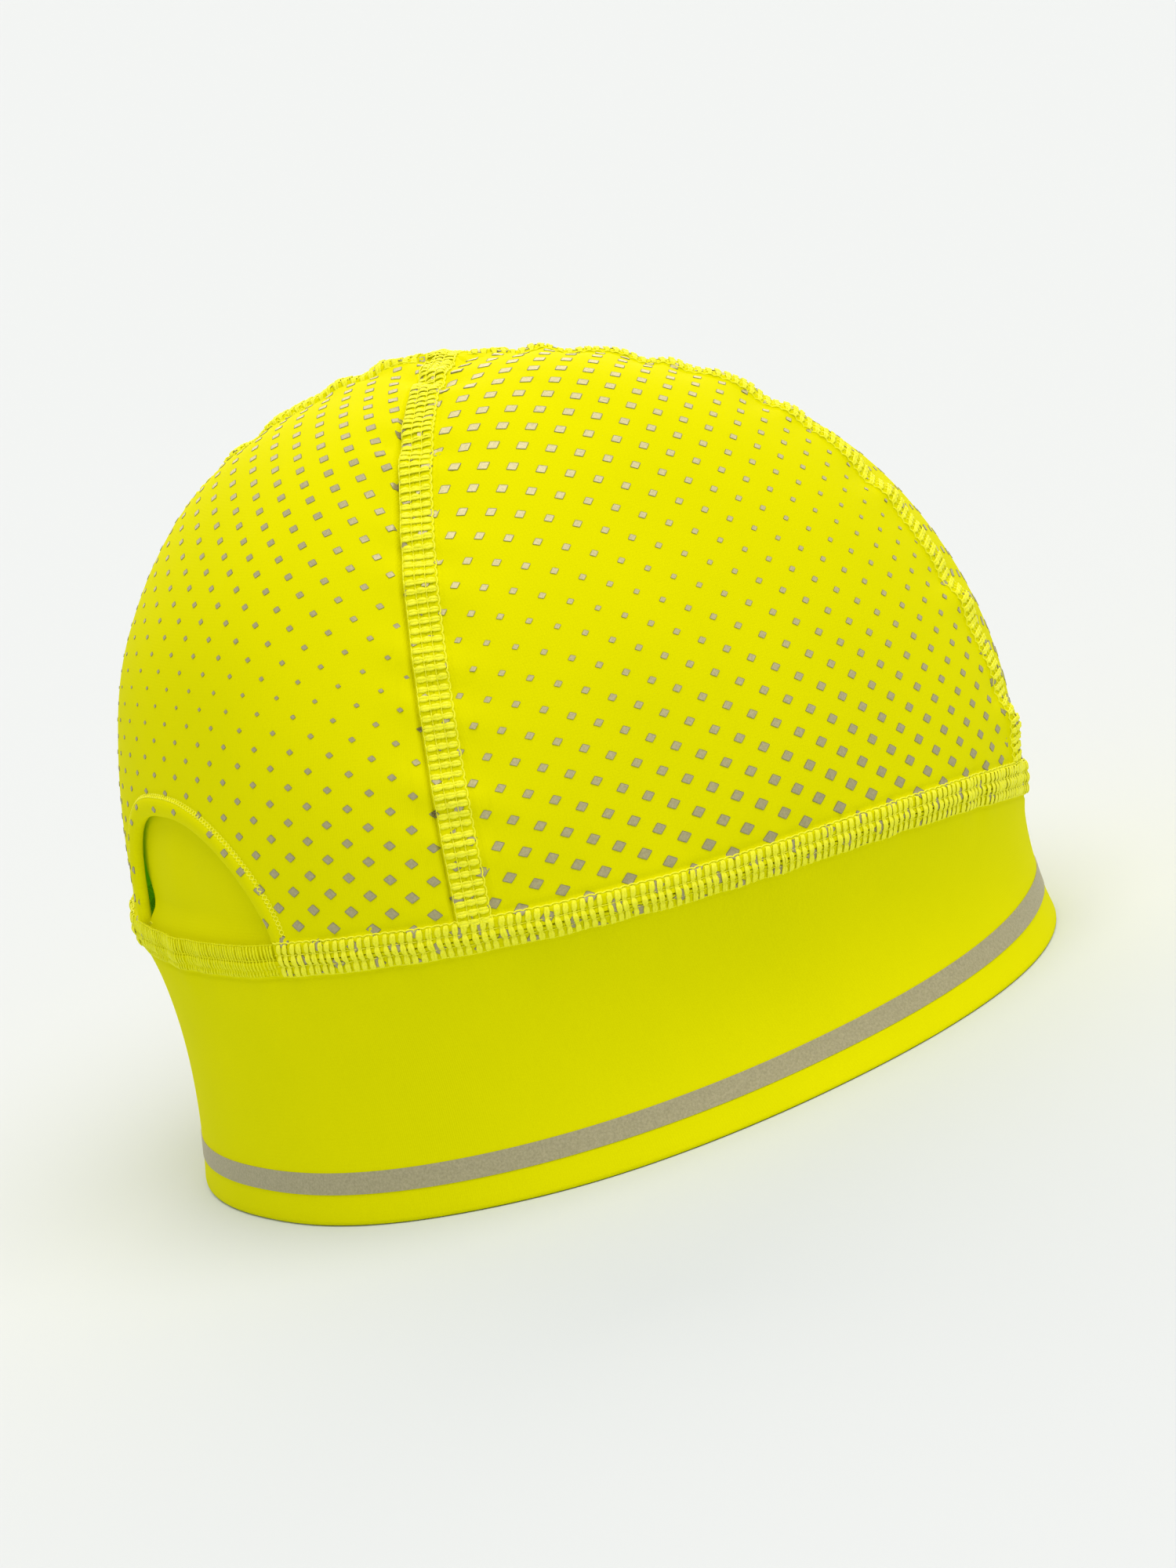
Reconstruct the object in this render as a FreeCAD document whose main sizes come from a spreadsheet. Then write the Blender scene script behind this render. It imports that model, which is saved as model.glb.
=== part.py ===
import FreeCAD, Part
import math
import os

# A soft skull cap: four dome gores on a doubled headband, with a ponytail opening at the back.
# Frame: origin at the centre of the head opening, X to the front, Y to the wearer's left, Z up.

# Driving dimensions in mm, except angles (degrees), powers and shares: alias, value, meaning.
DIMENSIONS = (
    ("hem_length", 188.8, "head opening from front to back, over the folded hem"),
    ("hem_width", 155.0, "head opening from side to side"),
    ("hem_power", 2.19, "plan of the hem: 2 is an ellipse, more is squarer"),
    ("hem_taper", 0.034, "share by which the hem is narrower in front than at the middle"),
    ("dome_length", 188.8, "dome at its waist from front to back"),
    ("dome_width", 152.6, "dome at its waist from side to side"),
    ("dome_power", 2.26, "plan of the dome: 2 is an ellipse"),
    ("dome_nose", 0.107, "share by which the dome reaches forward of its centre"),
    ("dome_centre", -7.1, "x of the dome's centre"),
    ("dome_tilt", 4.3, "turn of the dome, front down, degrees"),
    ("waist_height", 47.4, "height of the dome's centre over the hem"),
    ("crown_rise", 103.5, "crown over the dome's centre"),
    ("plan_power_front", 1.11, "how fast a gore closes towards the crown, front"),
    ("plan_power_side", 0.66, "the same at the side"),
    ("plan_power_back", 0.94, "the same at the back"),
    ("rise_power_front", 0.87, "how fast a gore climbs from the waist, front"),
    ("rise_power_side", 1.12, "the same at the side"),
    ("rise_power_back", 0.74, "the same at the back"),
    ("seam_angle_front", -6.2, "band seam over the dome's waist, front, degrees"),
    ("seam_angle_side", 0.6, "the same at the side"),
    ("seam_angle_back", 0.2, "the same at the back"),
    ("band_bow_front", -0.6, "bow of the headband between its edges, front, inward is negative"),
    ("band_bow_side", -7.5, "the same at the side"),
    ("band_bow_back", -1.8, "the same at the back"),
    ("rear_seam_angle", 128.4, "rear gore seams, degrees from the front"),
    ("front_seam_angle", 37.6, "front gore seams, degrees from the front"),
    ("fabric", 0.9, "thickness of one layer of knit"),
    ("layer_gap", 0.2, "space between the headband's two layers"),
    ("butt_gap", 0.3, "space between two edges that meet under a flat seam"),
    ("hem_press", 0.15, "depth to which the hem's fold is pressed flat"),
    ("crown_hole", 2.5, "radius left open where the four gores meet"),
    ("seam_width", 6.5, "flat seam over its threads"),
    ("thread_depth", 0.5, "thickness of a seam's thread layer"),
    ("thread_gap", 0.2, "space between a thread layer and the knit"),
    ("stripe_low", 6.3, "reflective stripe's lower edge over the hem, along the wall"),
    ("stripe_width", 4.0, "reflective stripe"),
    ("stripe_depth", 0.3, "thickness of the reflective stripe"),
    ("film_gap", 0.15, "space between the stripe and the knit"),
    ("seam_end_gap", 0.9, "space between a gore seam's end and the band seam"),
    ("crown_stop", 5.6, "distance from the crown at which the two shorter seams end"),
    ("join_angle", 84.0, "where the headband's two ends meet, on the left, degrees from the front"),
    ("join_width", 5.0, "thread layer over the headband's join"),
    ("arch_width", 52.0, "ponytail opening along the band seam"),
    ("arch_height", 28.6, "ponytail opening over the band seam"),
    ("arch_hem", 3.4, "turned hem round the ponytail opening"),
    ("arch_thread_width", 1.4, "stitch line of that hem"),
    ("flap_gap", 0.3, "space between the flap and the band seam's inner threads"),
    ("flap_overlap", 4.0, "flap beyond the ponytail opening, top and right"),
    ("flap_free_edge", 21.0, "y of the flap's free edge"),
    ("flap_rise", 1.0, "flap's lower edge over the band seam"),
    ("label_angle", 152.0, "care label's middle, degrees from the front"),
    ("label_width", 16.0, "care label"),
    ("label_length", 24.0, "care label"),
    ("label_depth", 0.3, "thickness of the care label"),
    ("label_gap", 0.4, "space between the care label and the threads it hangs over"),
)

STEP = 1e-4            # finite step for a surface's slopes
BISECTIONS = 40        # halvings when a place on the wall is searched
REACH = 400.0          # longer than the cap, for prisms and boxes that cut it

# Points through which the surfaces run.
ACROSS_GORE = 13
UP_GORE = 19
CROWDING = 1.35        # how much closer the points of a gore lie near the band seam
ROUND_CAP = 73
ALONG_PATCH = 15
ALONG_LAYER = 9
ROUND_FOLD = 9


def make_sheet(doc):
    """Writes the driving dimensions to a spreadsheet, one row each."""
    sheet = doc.addObject("Spreadsheet::Sheet", "dimensions")
    for row, (alias, value, meaning) in enumerate(DIMENSIONS, start=1):
        sheet.set(f"A{row}", alias)
        sheet.set(f"B{row}", str(value))
        sheet.set(f"C{row}", meaning)
        sheet.setAlias(f"B{row}", alias)
    doc.recompute()
    return sheet


def signed_power(value, power):
    return math.copysign(abs(value) ** power, value)


def around(front, side, back, angle):
    """A value that runs smoothly through front, side, back and side again."""
    mean = (front + 2 * side + back) / 4
    lean = (front - back) / 2 * math.cos(angle)
    oval = (front - 2 * side + back) / 4 * math.cos(2 * angle)
    return mean + lean + oval


def bisect(function, low, high):
    """The place between low and high where the rising function passes zero."""
    for _ in range(BISECTIONS):
        middle = (low + high) / 2
        if function(middle) < 0:
            low = middle
        else:
            high = middle
    return (low + high) / 2


def spread(first, last, count):
    return [first + (last - first) * index / (count - 1) for index in range(count)]


class Wall:
    """The outer face of the cap as a formula of the angle from the front, in radians."""

    def __init__(self, size):
        self.size = size

    def seam_latitude(self, angle):
        size = self.size
        return math.radians(around(size.seam_angle_front, size.seam_angle_side,
                                   size.seam_angle_back, angle))

    def dome(self, angle, climb):
        """A point of the dome: climb is 0 on the band seam and 1 at the crown."""
        size = self.size
        start = self.seam_latitude(angle)
        latitude = start + (math.pi / 2 - start) * climb
        closing = around(size.plan_power_front, size.plan_power_side, size.plan_power_back, angle)
        rising = around(size.rise_power_front, size.rise_power_side, size.rise_power_back, angle)
        ring = signed_power(math.cos(latitude), closing)
        rise = size.crown_rise * signed_power(math.sin(latitude), rising)
        plan = 2 / size.dome_power
        forward = size.dome_length / 2 * ring * signed_power(math.cos(angle), plan)
        forward *= 1 + size.dome_nose * math.cos(angle)
        sideways = size.dome_width / 2 * ring * signed_power(math.sin(angle), plan)
        tilt = math.radians(size.dome_tilt)
        x = size.dome_centre + forward * math.cos(tilt) + rise * math.sin(tilt)
        z = size.waist_height - forward * math.sin(tilt) + rise * math.cos(tilt)
        return FreeCAD.Vector(x, sideways, z)

    def hem(self, angle):
        size = self.size
        plan = 2 / size.hem_power
        x = size.hem_length / 2 * signed_power(math.cos(angle), plan)
        y = size.hem_width / 2 * signed_power(math.sin(angle), plan)
        return FreeCAD.Vector(x, y * (1 - size.hem_taper * math.cos(angle)), 0)

    def band(self, angle, share):
        """A point of the headband: share is 0 on the hem and 1 on the band seam."""
        size = self.size
        bow = around(size.band_bow_front, size.band_bow_side, size.band_bow_back, angle)
        bow *= 4 * share * (1 - share)
        outward = FreeCAD.Vector(math.cos(angle), math.sin(angle), 0) * bow
        return self.dome(angle, 0) * share + self.hem(angle) * (1 - share) + outward

    def strip(self, angle, over):
        """A point of the wall, over mm above the band seam, or below it when negative."""
        if over >= 0:
            return self.dome(angle, self.dome_climb(angle, over))
        return self.band(angle, self.band_share(angle, -over))

    def dome_climb(self, angle, distance):
        seam = self.dome(angle, 0)
        return bisect(lambda climb: (self.dome(angle, climb) - seam).Length - distance, 0, 0.6)

    def band_share(self, angle, distance):
        seam = self.dome(angle, 0)
        return bisect(lambda share: distance - (self.band(angle, share) - seam).Length, 0, 1)

    def crown_climb(self, angle, radius):
        """How far up a gore ends when it stops radius mm short of the crown."""
        crown = self.dome(angle, 1)
        return bisect(lambda climb: radius - (self.dome(angle, climb) - crown).Length, 0.5, 1)


def normal_at(place, across, along):
    """Outward unit normal of a surface whose first value turns to the left and second rises."""
    turn = place(across + STEP, along) - place(across - STEP, along)
    rise = place(across, along + STEP) - place(across, along - STEP)
    return turn.cross(rise).normalize()


def lifted(place, across, along, lift):
    return place(across, along) + normal_at(place, across, along) * lift


def seam_ray(wall, angle):
    """Outward direction that halves the bend of the wall along the band seam.

    It is as long as it takes for a lift of 1 to be 1 mm from either side.
    """
    over = normal_at(wall.dome, angle, wall.dome_climb(angle, wall.size.butt_gap))
    under = normal_at(wall.band, angle, 1 - STEP)
    halfway = (over + under).normalize()
    return halfway / halfway.dot(over)


def sheet_solid(outer, inner):
    """A closed solid between two grids of points."""
    skins = []
    for grid in (outer, inner):
        surface = Part.BSplineSurface()
        surface.interpolate(grid)
        skins.append(surface.toShape())
    edges = zip(skins[0].Edges, skins[1].Edges)
    sides = [Part.makeRuledSurface(first, second) for first, second in edges]
    shell = Part.makeShell(skins + sides)
    shell.sewShape()
    solid = Part.makeSolid(shell)
    if solid.Volume < 0:
        solid.reverse()
    return solid


def lifted_grid(place, rows, lift):
    return [[lifted(place, across, along, lift) for across, along in row] for row in rows]


def layer(place, rows, high, low):
    """A sheet that follows the surface place between two lifts; rows holds its grid's values."""
    return sheet_solid(lifted_grid(place, rows, high), lifted_grid(place, rows, low))


def gore_rows(wall, first_seam, last_seam):
    """Grid of one gore between two seams, clear of its neighbours by the butt gap."""
    size = wall.size
    half_gap = size.butt_gap / 2
    rows = []
    for share in spread(0, 1, ACROSS_GORE):
        row = []
        for step in spread(0, 1, UP_GORE):
            middle = first_seam + (last_seam - first_seam) * share
            low = wall.dome_climb(middle, half_gap)
            climb = low + (wall.crown_climb(middle, size.crown_hole) - low) * step ** CROWDING
            crown = wall.dome(middle, 1)
            radius = (wall.dome(middle, climb) - crown).Length
            angle = middle + half_gap / radius * (1 - 2 * share)
            row.append((angle, climb))
        rows.append(row)
    return rows


def gore(wall, first_seam, last_seam):
    """One dome panel, whose lower edge is mitred along the band seam."""
    rows = gore_rows(wall, first_seam, last_seam)
    outer = lifted_grid(wall.dome, rows, 0)
    inner = lifted_grid(wall.dome, rows, -wall.size.fabric)
    for column, row in enumerate(rows):
        inner[column][0] = outer[column][0] - seam_ray(wall, row[0][0]) * wall.size.fabric
    return sheet_solid(outer, inner)


def back_patch(wall, high, low, half_angle, first, last):
    """A sheet on the back of the dome, from first to last mm over the band seam."""
    rows = [[(angle, over) for over in spread(first, last, ALONG_PATCH)]
            for angle in spread(math.pi - half_angle, math.pi + half_angle, ALONG_PATCH)]
    return layer(wall.strip, rows, high, low)


def arch_thread_patch(wall):
    """The sheet of thread from which the ponytail opening's stitch line is cut."""
    size = wall.size
    edge = size.arch_hem + size.arch_thread_width / 2
    reach = (size.arch_width / 2 + 2 * edge) / (size.dome_width / 2)
    low = size.seam_width / 2 + size.thread_gap
    high = size.thread_gap + size.thread_depth
    return back_patch(wall, high, size.thread_gap, reach, low, size.arch_height + 2 * edge)


def flap_patch(wall):
    """The sheet of knit from which the flap is cut, inside the band seam's inner threads."""
    size = wall.size
    depth = loop_depth(size) + size.thread_depth + size.flap_gap
    reach = (size.arch_width / 2 + 2 * size.flap_overlap) / (size.dome_width / 2)
    top = size.arch_height + 2 * size.flap_overlap
    return back_patch(wall, -depth, -depth - size.fabric, reach, size.flap_rise, top)


def loop_depth(size):
    """Depth of the band seam's inner threads, which lie on the headband's inner layer."""
    return 2 * size.fabric + size.layer_gap + size.thread_gap


def seam_path(wall, angle, first, stop):
    """Points of the wall along a gore seam, from first mm over the band seam up to the crown."""
    low = wall.dome_climb(angle, first)
    high = wall.crown_climb(angle, stop)
    return [(angle, low + (high - low) * step ** CROWDING) for step in spread(0, 1, UP_GORE)]


def ribbon(wall, places, width, high, low):
    """A flat band of thread along a path of the dome."""
    points = [wall.dome(*place) for place in places]
    normals = [normal_at(wall.dome, *place) for place in places]
    outer, inner = [], []
    for index, point in enumerate(points):
        before = points[max(index - 1, 0)]
        after = points[min(index + 1, len(points) - 1)]
        across = (after - before).cross(normals[index]).normalize()
        sides = [point + across * offset for offset in (-width / 2, 0, width / 2)]
        outer.append([side + normals[index] * high for side in sides])
        inner.append([side + normals[index] * low for side in sides])
    return sheet_solid(outer, inner)


def gore_seams(wall):
    """Paths of the gore seams: one runs over the crown, two others end at its edge."""
    size = wall.size
    rear, front = math.radians(size.rear_seam_angle), math.radians(size.front_seam_angle)
    start = size.seam_width / 2 + size.seam_end_gap
    over_crown = seam_path(wall, -rear, start, size.crown_hole)
    over_crown += reversed(seam_path(wall, front, start, size.crown_hole))
    return {
        "crown_seam": over_crown,
        "rear_left_seam": seam_path(wall, rear, start, size.crown_stop),
        "front_right_seam": seam_path(wall, -front, start, size.crown_stop),
    }


def ring_angles(wall, width):
    """Angles once round the cap from the headband's join, which keeps a gap of width open."""
    join = math.radians(wall.size.join_angle)
    half_gap = width / wall.size.hem_width
    return spread(join + half_gap, join + 2 * math.pi - half_gap, ROUND_CAP)


def band_seam_thread(wall, high, low, edges):
    """Thread along the band seam; edges holds the shares of its half width that it bends at."""
    size = wall.size
    half = size.seam_width / 2
    rows = [[(angle, half * edge) for edge in edges] for angle in ring_angles(wall, size.butt_gap)]
    return layer(wall.strip, rows, high, low)


def band_seam_threads(wall):
    """The cover outside hugs the bend of the wall, and the loops inside cut across it."""
    size = wall.size
    cover_edges = (-1, -0.5, -0.15, 0.15, 0.5, 1)
    loop_edges = (-1, -0.5, 0.5, 1)
    depth = loop_depth(size)
    cover = band_seam_thread(wall, size.thread_gap + size.thread_depth, size.thread_gap, cover_edges)
    loops = band_seam_thread(wall, -depth, -depth - size.thread_depth, loop_edges)
    return cover, loops


def hem_distance(wall, angle, distance):
    """The share of the headband's height that lies distance mm over the hem."""
    hem = wall.hem(angle)
    return bisect(lambda share: (wall.band(angle, share) - hem).Length - distance, 0, 1)


def stripe(wall):
    size = wall.size
    edges = spread(size.stripe_low, size.stripe_low + size.stripe_width, 3)
    rows = [[(angle, hem_distance(wall, angle, edge)) for edge in edges]
            for angle in ring_angles(wall, size.butt_gap)]
    return layer(wall.band, rows, size.film_gap + size.stripe_depth, size.film_gap)


def folded_section(wall, angle):
    """Both faces of the doubled headband at one angle, from outside, round the hem, to inside."""
    size = wall.size
    fold = (size.fabric + size.layer_gap) / 2
    depth = size.fabric + size.layer_gap / 2
    centre_height = fold + size.fabric / 2 - size.hem_press
    low = bisect(lambda share: lifted(wall.band, angle, share, -depth).z - centre_height, 0, 0.5)
    high = wall.band_share(angle, size.butt_gap / 2)
    top, ray = wall.band(angle, high), seam_ray(wall, angle)
    shares = spread(high, low, ALONG_LAYER)[1:]
    outer, inner = [top], [top - ray * size.fabric]
    for share in shares:
        outer.append(lifted(wall.band, angle, share, 0))
        inner.append(lifted(wall.band, angle, share, -size.fabric))
    centre = lifted(wall.band, angle, low, -depth)
    outward = normal_at(wall.band, angle, low)
    down = (wall.band(angle, low - STEP) - wall.band(angle, low)).normalize()
    for turn in spread(0, math.pi, ROUND_FOLD)[1:-1]:
        way = outward * math.cos(turn) + down * math.sin(turn)
        outer.append(centre + way * (fold + size.fabric / 2))
        inner.append(centre + way * (fold - size.fabric / 2))
    for share in reversed(shares):
        outer.append(lifted(wall.band, angle, share, -2 * size.fabric - size.layer_gap))
        inner.append(lifted(wall.band, angle, share, -size.fabric - size.layer_gap))
    outer.append(top - ray * (2 * size.fabric + size.layer_gap))
    inner.append(top - ray * (size.fabric + size.layer_gap))
    return outer, inner


def headband(wall):
    """One strip of knit folded double, its ends butted at the join and its hem pressed flat."""
    sections = [folded_section(wall, angle) for angle in ring_angles(wall, wall.size.butt_gap)]
    band = sheet_solid([outer for outer, _ in sections], [inner for _, inner in sections])
    corner = FreeCAD.Vector(-REACH / 2, -REACH / 2, -REACH)
    return band.cut(Part.makeBox(REACH, REACH, REACH, corner))


def band_patch(wall, middle, width, low, high, depth_out, depth_in):
    """A sheet on the headband, width mm wide about an angle."""
    half = width / wall.size.hem_width
    rows = [[(angle, share) for share in spread(low, high, ALONG_LAYER)]
            for angle in spread(middle - half, middle + half, ALONG_LAYER)]
    return layer(wall.band, rows, depth_out, depth_in)


def join_thread(wall):
    """The thread layer over the headband's join, from the stripe up to the band seam."""
    size = wall.size
    middle = math.radians(size.join_angle)
    first = hem_distance(wall, middle, size.stripe_low + size.stripe_width + size.thread_gap)
    last = wall.band_share(middle, size.seam_width / 2 + size.thread_gap)
    high = size.thread_gap + size.thread_depth
    return band_patch(wall, middle, size.join_width, first, last, high, size.thread_gap)


def care_label(wall):
    """A blank label that hangs inside the headband from the band seam."""
    size = wall.size
    middle = math.radians(size.label_angle)
    height = wall.band(middle, 1).z
    depth = loop_depth(size) + size.thread_depth + size.label_gap
    last = wall.band_share(middle, size.thread_gap)
    first = last - size.label_length / height
    return band_patch(wall, middle, size.label_width, first, last, -depth, -depth - size.label_depth)


def add_feature(doc, label, shape):
    """Adds a sub-part whose surface no primitive describes."""
    feature = doc.addObject("Part::Feature", label)
    feature.Label = label
    feature.Shape = shape
    feature.Placement = FreeCAD.Placement()
    return feature


def add_arch(doc, wall, name, grow="0"):
    """A prism behind the crown with the ponytail opening's outline, grown by an expression."""
    ellipse = doc.addObject("Part::Ellipse", f"{name}_outline")
    sides = "dimensions.arch_width / 2; dimensions.arch_height"
    ellipse.setExpression("MajorRadius", f"(max({sides}) + {grow}) * 1 mm")
    ellipse.setExpression("MinorRadius", f"(min({sides}) + {grow}) * 1 mm")
    # The ellipse lies in X and Y with its long axis on X: it is stood up across the back.
    turn = FreeCAD.Rotation(FreeCAD.Vector(0, 0, 1), 90)
    turn = turn.multiply(FreeCAD.Rotation(FreeCAD.Vector(1, 0, 0), 90))
    if wall.size.arch_height > wall.size.arch_width / 2:
        turn = FreeCAD.Rotation(FreeCAD.Vector(1, 0, 0), 90).multiply(turn)
    ellipse.Placement = FreeCAD.Placement(FreeCAD.Vector(0, 0, wall.dome(math.pi, 0).z), turn)
    prism = doc.addObject("Part::Extrusion", name)
    prism.Base = ellipse
    prism.DirMode = "Custom"
    prism.Dir = FreeCAD.Vector(-1, 0, 0)
    prism.LengthFwd = REACH
    prism.Solid = True
    return prism


def add_boolean(doc, kind, label, base, tool):
    result = doc.addObject(f"Part::{kind}", label)
    result.Label = label
    result.Base = base
    result.Tool = tool
    return result


def add_back_panel(doc, wall, rear):
    blank = add_feature(doc, "back_panel_blank", gore(wall, rear, 2 * math.pi - rear))
    return add_boolean(doc, "Cut", "back_panel", blank, add_arch(doc, wall, "arch"))


def add_opening_hem_thread(doc, wall):
    """The stitch line along the outer edge of the ponytail opening's turned hem."""
    half = "dimensions.arch_thread_width / 2"
    outer = add_arch(doc, wall, "stitch_outside", f"dimensions.arch_hem + {half}")
    inner = add_arch(doc, wall, "stitch_inside", f"dimensions.arch_hem - {half}")
    ring = add_boolean(doc, "Cut", "stitch_ring", outer, inner)
    sheet = add_feature(doc, "stitch_sheet", arch_thread_patch(wall))
    return add_boolean(doc, "Common", "opening_hem_thread", sheet, ring)


def add_flap(doc, wall):
    """The flap behind the ponytail opening, whose free edge is on the wearer's left."""
    sheet = add_feature(doc, "flap_sheet", flap_patch(wall))
    outline = add_arch(doc, wall, "flap_outline", "dimensions.flap_overlap")
    shaped = add_boolean(doc, "Common", "flap_shaped", sheet, outline)
    beyond = doc.addObject("Part::Box", "beyond_free_edge")
    for side in ("Length", "Width", "Height"):
        setattr(beyond, side, REACH)
    beyond.setExpression("Placement.Base.x", "-Length")
    beyond.setExpression("Placement.Base.y", "dimensions.flap_free_edge * 1 mm")
    return add_boolean(doc, "Cut", "ponytail_flap", shaped, beyond)


def build(doc, sheet):
    """Makes every sub-part and returns them in a list."""
    wall = Wall(sheet)
    rear, front = math.radians(sheet.rear_seam_angle), math.radians(sheet.front_seam_angle)
    cover_top = sheet.thread_gap + sheet.thread_depth
    loops_top = -sheet.fabric - sheet.thread_gap
    band_cover, band_loops = band_seam_threads(wall)
    pieces = [
        add_feature(doc, "front_panel", gore(wall, -front, front)),
        add_feature(doc, "left_side_panel", gore(wall, front, rear)),
        add_feature(doc, "right_side_panel", gore(wall, -rear, -front)),
        add_back_panel(doc, wall, rear),
        add_feature(doc, "headband", headband(wall)),
        add_feature(doc, "reflective_stripe", stripe(wall)),
        add_feature(doc, "headband_join_thread", join_thread(wall)),
        add_feature(doc, "band_seam_cover_thread", band_cover),
        add_feature(doc, "band_seam_loop_thread", band_loops),
        add_opening_hem_thread(doc, wall),
        add_flap(doc, wall),
        add_feature(doc, "care_label", care_label(wall)),
    ]
    for name, places in gore_seams(wall).items():
        outside = ribbon(wall, places, sheet.seam_width, cover_top, sheet.thread_gap)
        inside = ribbon(wall, places, sheet.seam_width, loops_top, loops_top - sheet.thread_depth)
        pieces.append(add_feature(doc, f"{name}_cover_thread", outside))
        pieces.append(add_feature(doc, f"{name}_loop_thread", inside))
    return pieces


def check(doc, pieces):
    """Stops when an object failed or a sub-part isn't one valid closed solid."""
    for item in doc.Objects:
        if "Invalid" in item.State or "Error" in item.State:
            raise RuntimeError(f"{item.Name} failed: {item.State}")
    for piece in pieces:
        shape = piece.Shape
        if shape.isNull() or not shape.isValid() or not shape.Solids:
            raise RuntimeError(f"{piece.Label} isn't a valid solid")


def main():
    doc = FreeCAD.newDocument("skull_cap")
    sheet = make_sheet(doc)
    pieces = build(doc, sheet)
    doc.recompute()
    check(doc, pieces)
    os.makedirs("parts", exist_ok=True)
    for piece in pieces:
        piece.Shape.exportStep(f"parts/{piece.Label}.step")
        print(piece.Label, len(piece.Shape.Solids), round(piece.Shape.Volume, 1))


main()
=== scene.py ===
"""A soft, bright yellow skull cap with printed reflective squares and a ponytail opening.

Lengths are in millimetres in this file and go to metres where a mesh is made. Angles turn about Z
from the front, and climb is 0 on the band seam and 1 at the crown. The formula of the wall is the
CAD source's own, so every piece lies on its CAD solid.
"""
import math

import bpy
import numpy as np
from mathutils import Matrix, Vector


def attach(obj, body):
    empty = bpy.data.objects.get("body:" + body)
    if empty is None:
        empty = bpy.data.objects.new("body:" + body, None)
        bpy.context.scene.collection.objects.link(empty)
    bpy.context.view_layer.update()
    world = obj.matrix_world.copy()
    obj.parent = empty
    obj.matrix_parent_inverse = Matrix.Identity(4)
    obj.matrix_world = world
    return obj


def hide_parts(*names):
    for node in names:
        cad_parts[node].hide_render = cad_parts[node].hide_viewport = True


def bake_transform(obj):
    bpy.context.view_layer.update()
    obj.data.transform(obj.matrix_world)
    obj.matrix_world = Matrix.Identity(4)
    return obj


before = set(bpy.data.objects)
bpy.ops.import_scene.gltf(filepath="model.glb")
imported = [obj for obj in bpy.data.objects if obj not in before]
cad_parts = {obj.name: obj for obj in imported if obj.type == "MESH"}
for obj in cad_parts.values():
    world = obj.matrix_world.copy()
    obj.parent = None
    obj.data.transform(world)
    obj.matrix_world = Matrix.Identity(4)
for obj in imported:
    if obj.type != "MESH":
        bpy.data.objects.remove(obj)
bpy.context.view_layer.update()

MM = 0.001

# The wall, as in the CAD source.
HEM_LENGTH, HEM_WIDTH, HEM_POWER, HEM_TAPER = 188.8, 155.0, 2.19, 0.034
DOME_LENGTH, DOME_WIDTH, DOME_POWER, DOME_NOSE = 188.8, 152.6, 2.26, 0.107
DOME_CENTRE, DOME_TILT, WAIST_HEIGHT, CROWN_RISE = -7.1, math.radians(4.3), 47.4, 103.5
PLAN_POWERS = (1.11, 0.66, 0.94)
RISE_POWERS = (0.87, 1.12, 0.74)
SEAM_LATITUDES = (-6.2, 0.6, 0.2)
BAND_BOWS = (-0.6, -7.5, -1.8)
REAR_SEAM = math.radians(128.4)
FRONT_SEAM = math.radians(37.6)
JOIN = math.radians(84.0)
FABRIC = 0.9
LAYER_GAP = 0.2
# The worn opening leans to the wearer's left: half widths and powers of its right and left halves.
ARCH_WIDTHS, ARCH_POWERS = (32.0, 21.4), (2.0, 2.8)
ARCH_CENTRE, ARCH_HEIGHT, ARCH_HEM = 7.6, 28.6, 3.4
STRIPE_LOW, STRIPE_WIDTH, STRIPE_LIFT, STRIPE_DEPTH = 6.3, 4.4, 0.17, 0.3
TURN = 2 * math.pi


# ---- the wall's formula

def signed_power(value, power):
    """The value to a power, with its sign kept."""
    return np.sign(value) * np.abs(value) ** power


def around(values, angle):
    """A value all round, from its values in front, at the sides and behind."""
    front, side, back = values
    mean, lean = (front + 2 * side + back) / 4, (front - back) / 2
    oval = (front - 2 * side + back) / 4
    return mean + lean * np.cos(angle) + oval * np.cos(2 * angle)


def xyz(x, y, z):
    return np.stack(np.broadcast_arrays(x, y, z), axis=-1).astype(float)


def unit(v):
    return v / np.maximum(np.linalg.norm(v, axis=-1, keepdims=True), 1e-12)


def smooth(value, low, high):
    share = np.clip((value - low) / (high - low), 0, 1)
    return share * share * (3 - 2 * share)


def bell(value, centre, width):
    return np.exp(-((value - centre) / width) ** 2)


def arc_lengths(path):
    """Length along a path at each of its points, 0 at the first."""
    return np.concatenate([[0], np.cumsum(np.linalg.norm(np.diff(path, axis=0), axis=1))])


def dome(angle, climb):
    """The dome's outer face: climb is 0 on the band seam and 1 at the crown."""
    start = np.radians(around(SEAM_LATITUDES, angle))
    latitude = start + (math.pi / 2 - start) * climb
    ring = signed_power(np.cos(latitude), around(PLAN_POWERS, angle))
    rise = CROWN_RISE * signed_power(np.sin(latitude), around(RISE_POWERS, angle))
    plan = 2 / DOME_POWER
    nose = 1 + DOME_NOSE * np.cos(angle)
    forward = DOME_LENGTH / 2 * ring * signed_power(np.cos(angle), plan) * nose
    sideways = DOME_WIDTH / 2 * ring * signed_power(np.sin(angle), plan)
    cos, sin = math.cos(DOME_TILT), math.sin(DOME_TILT)
    return xyz(DOME_CENTRE + forward * cos + rise * sin, sideways,
               WAIST_HEIGHT - forward * sin + rise * cos)


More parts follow.
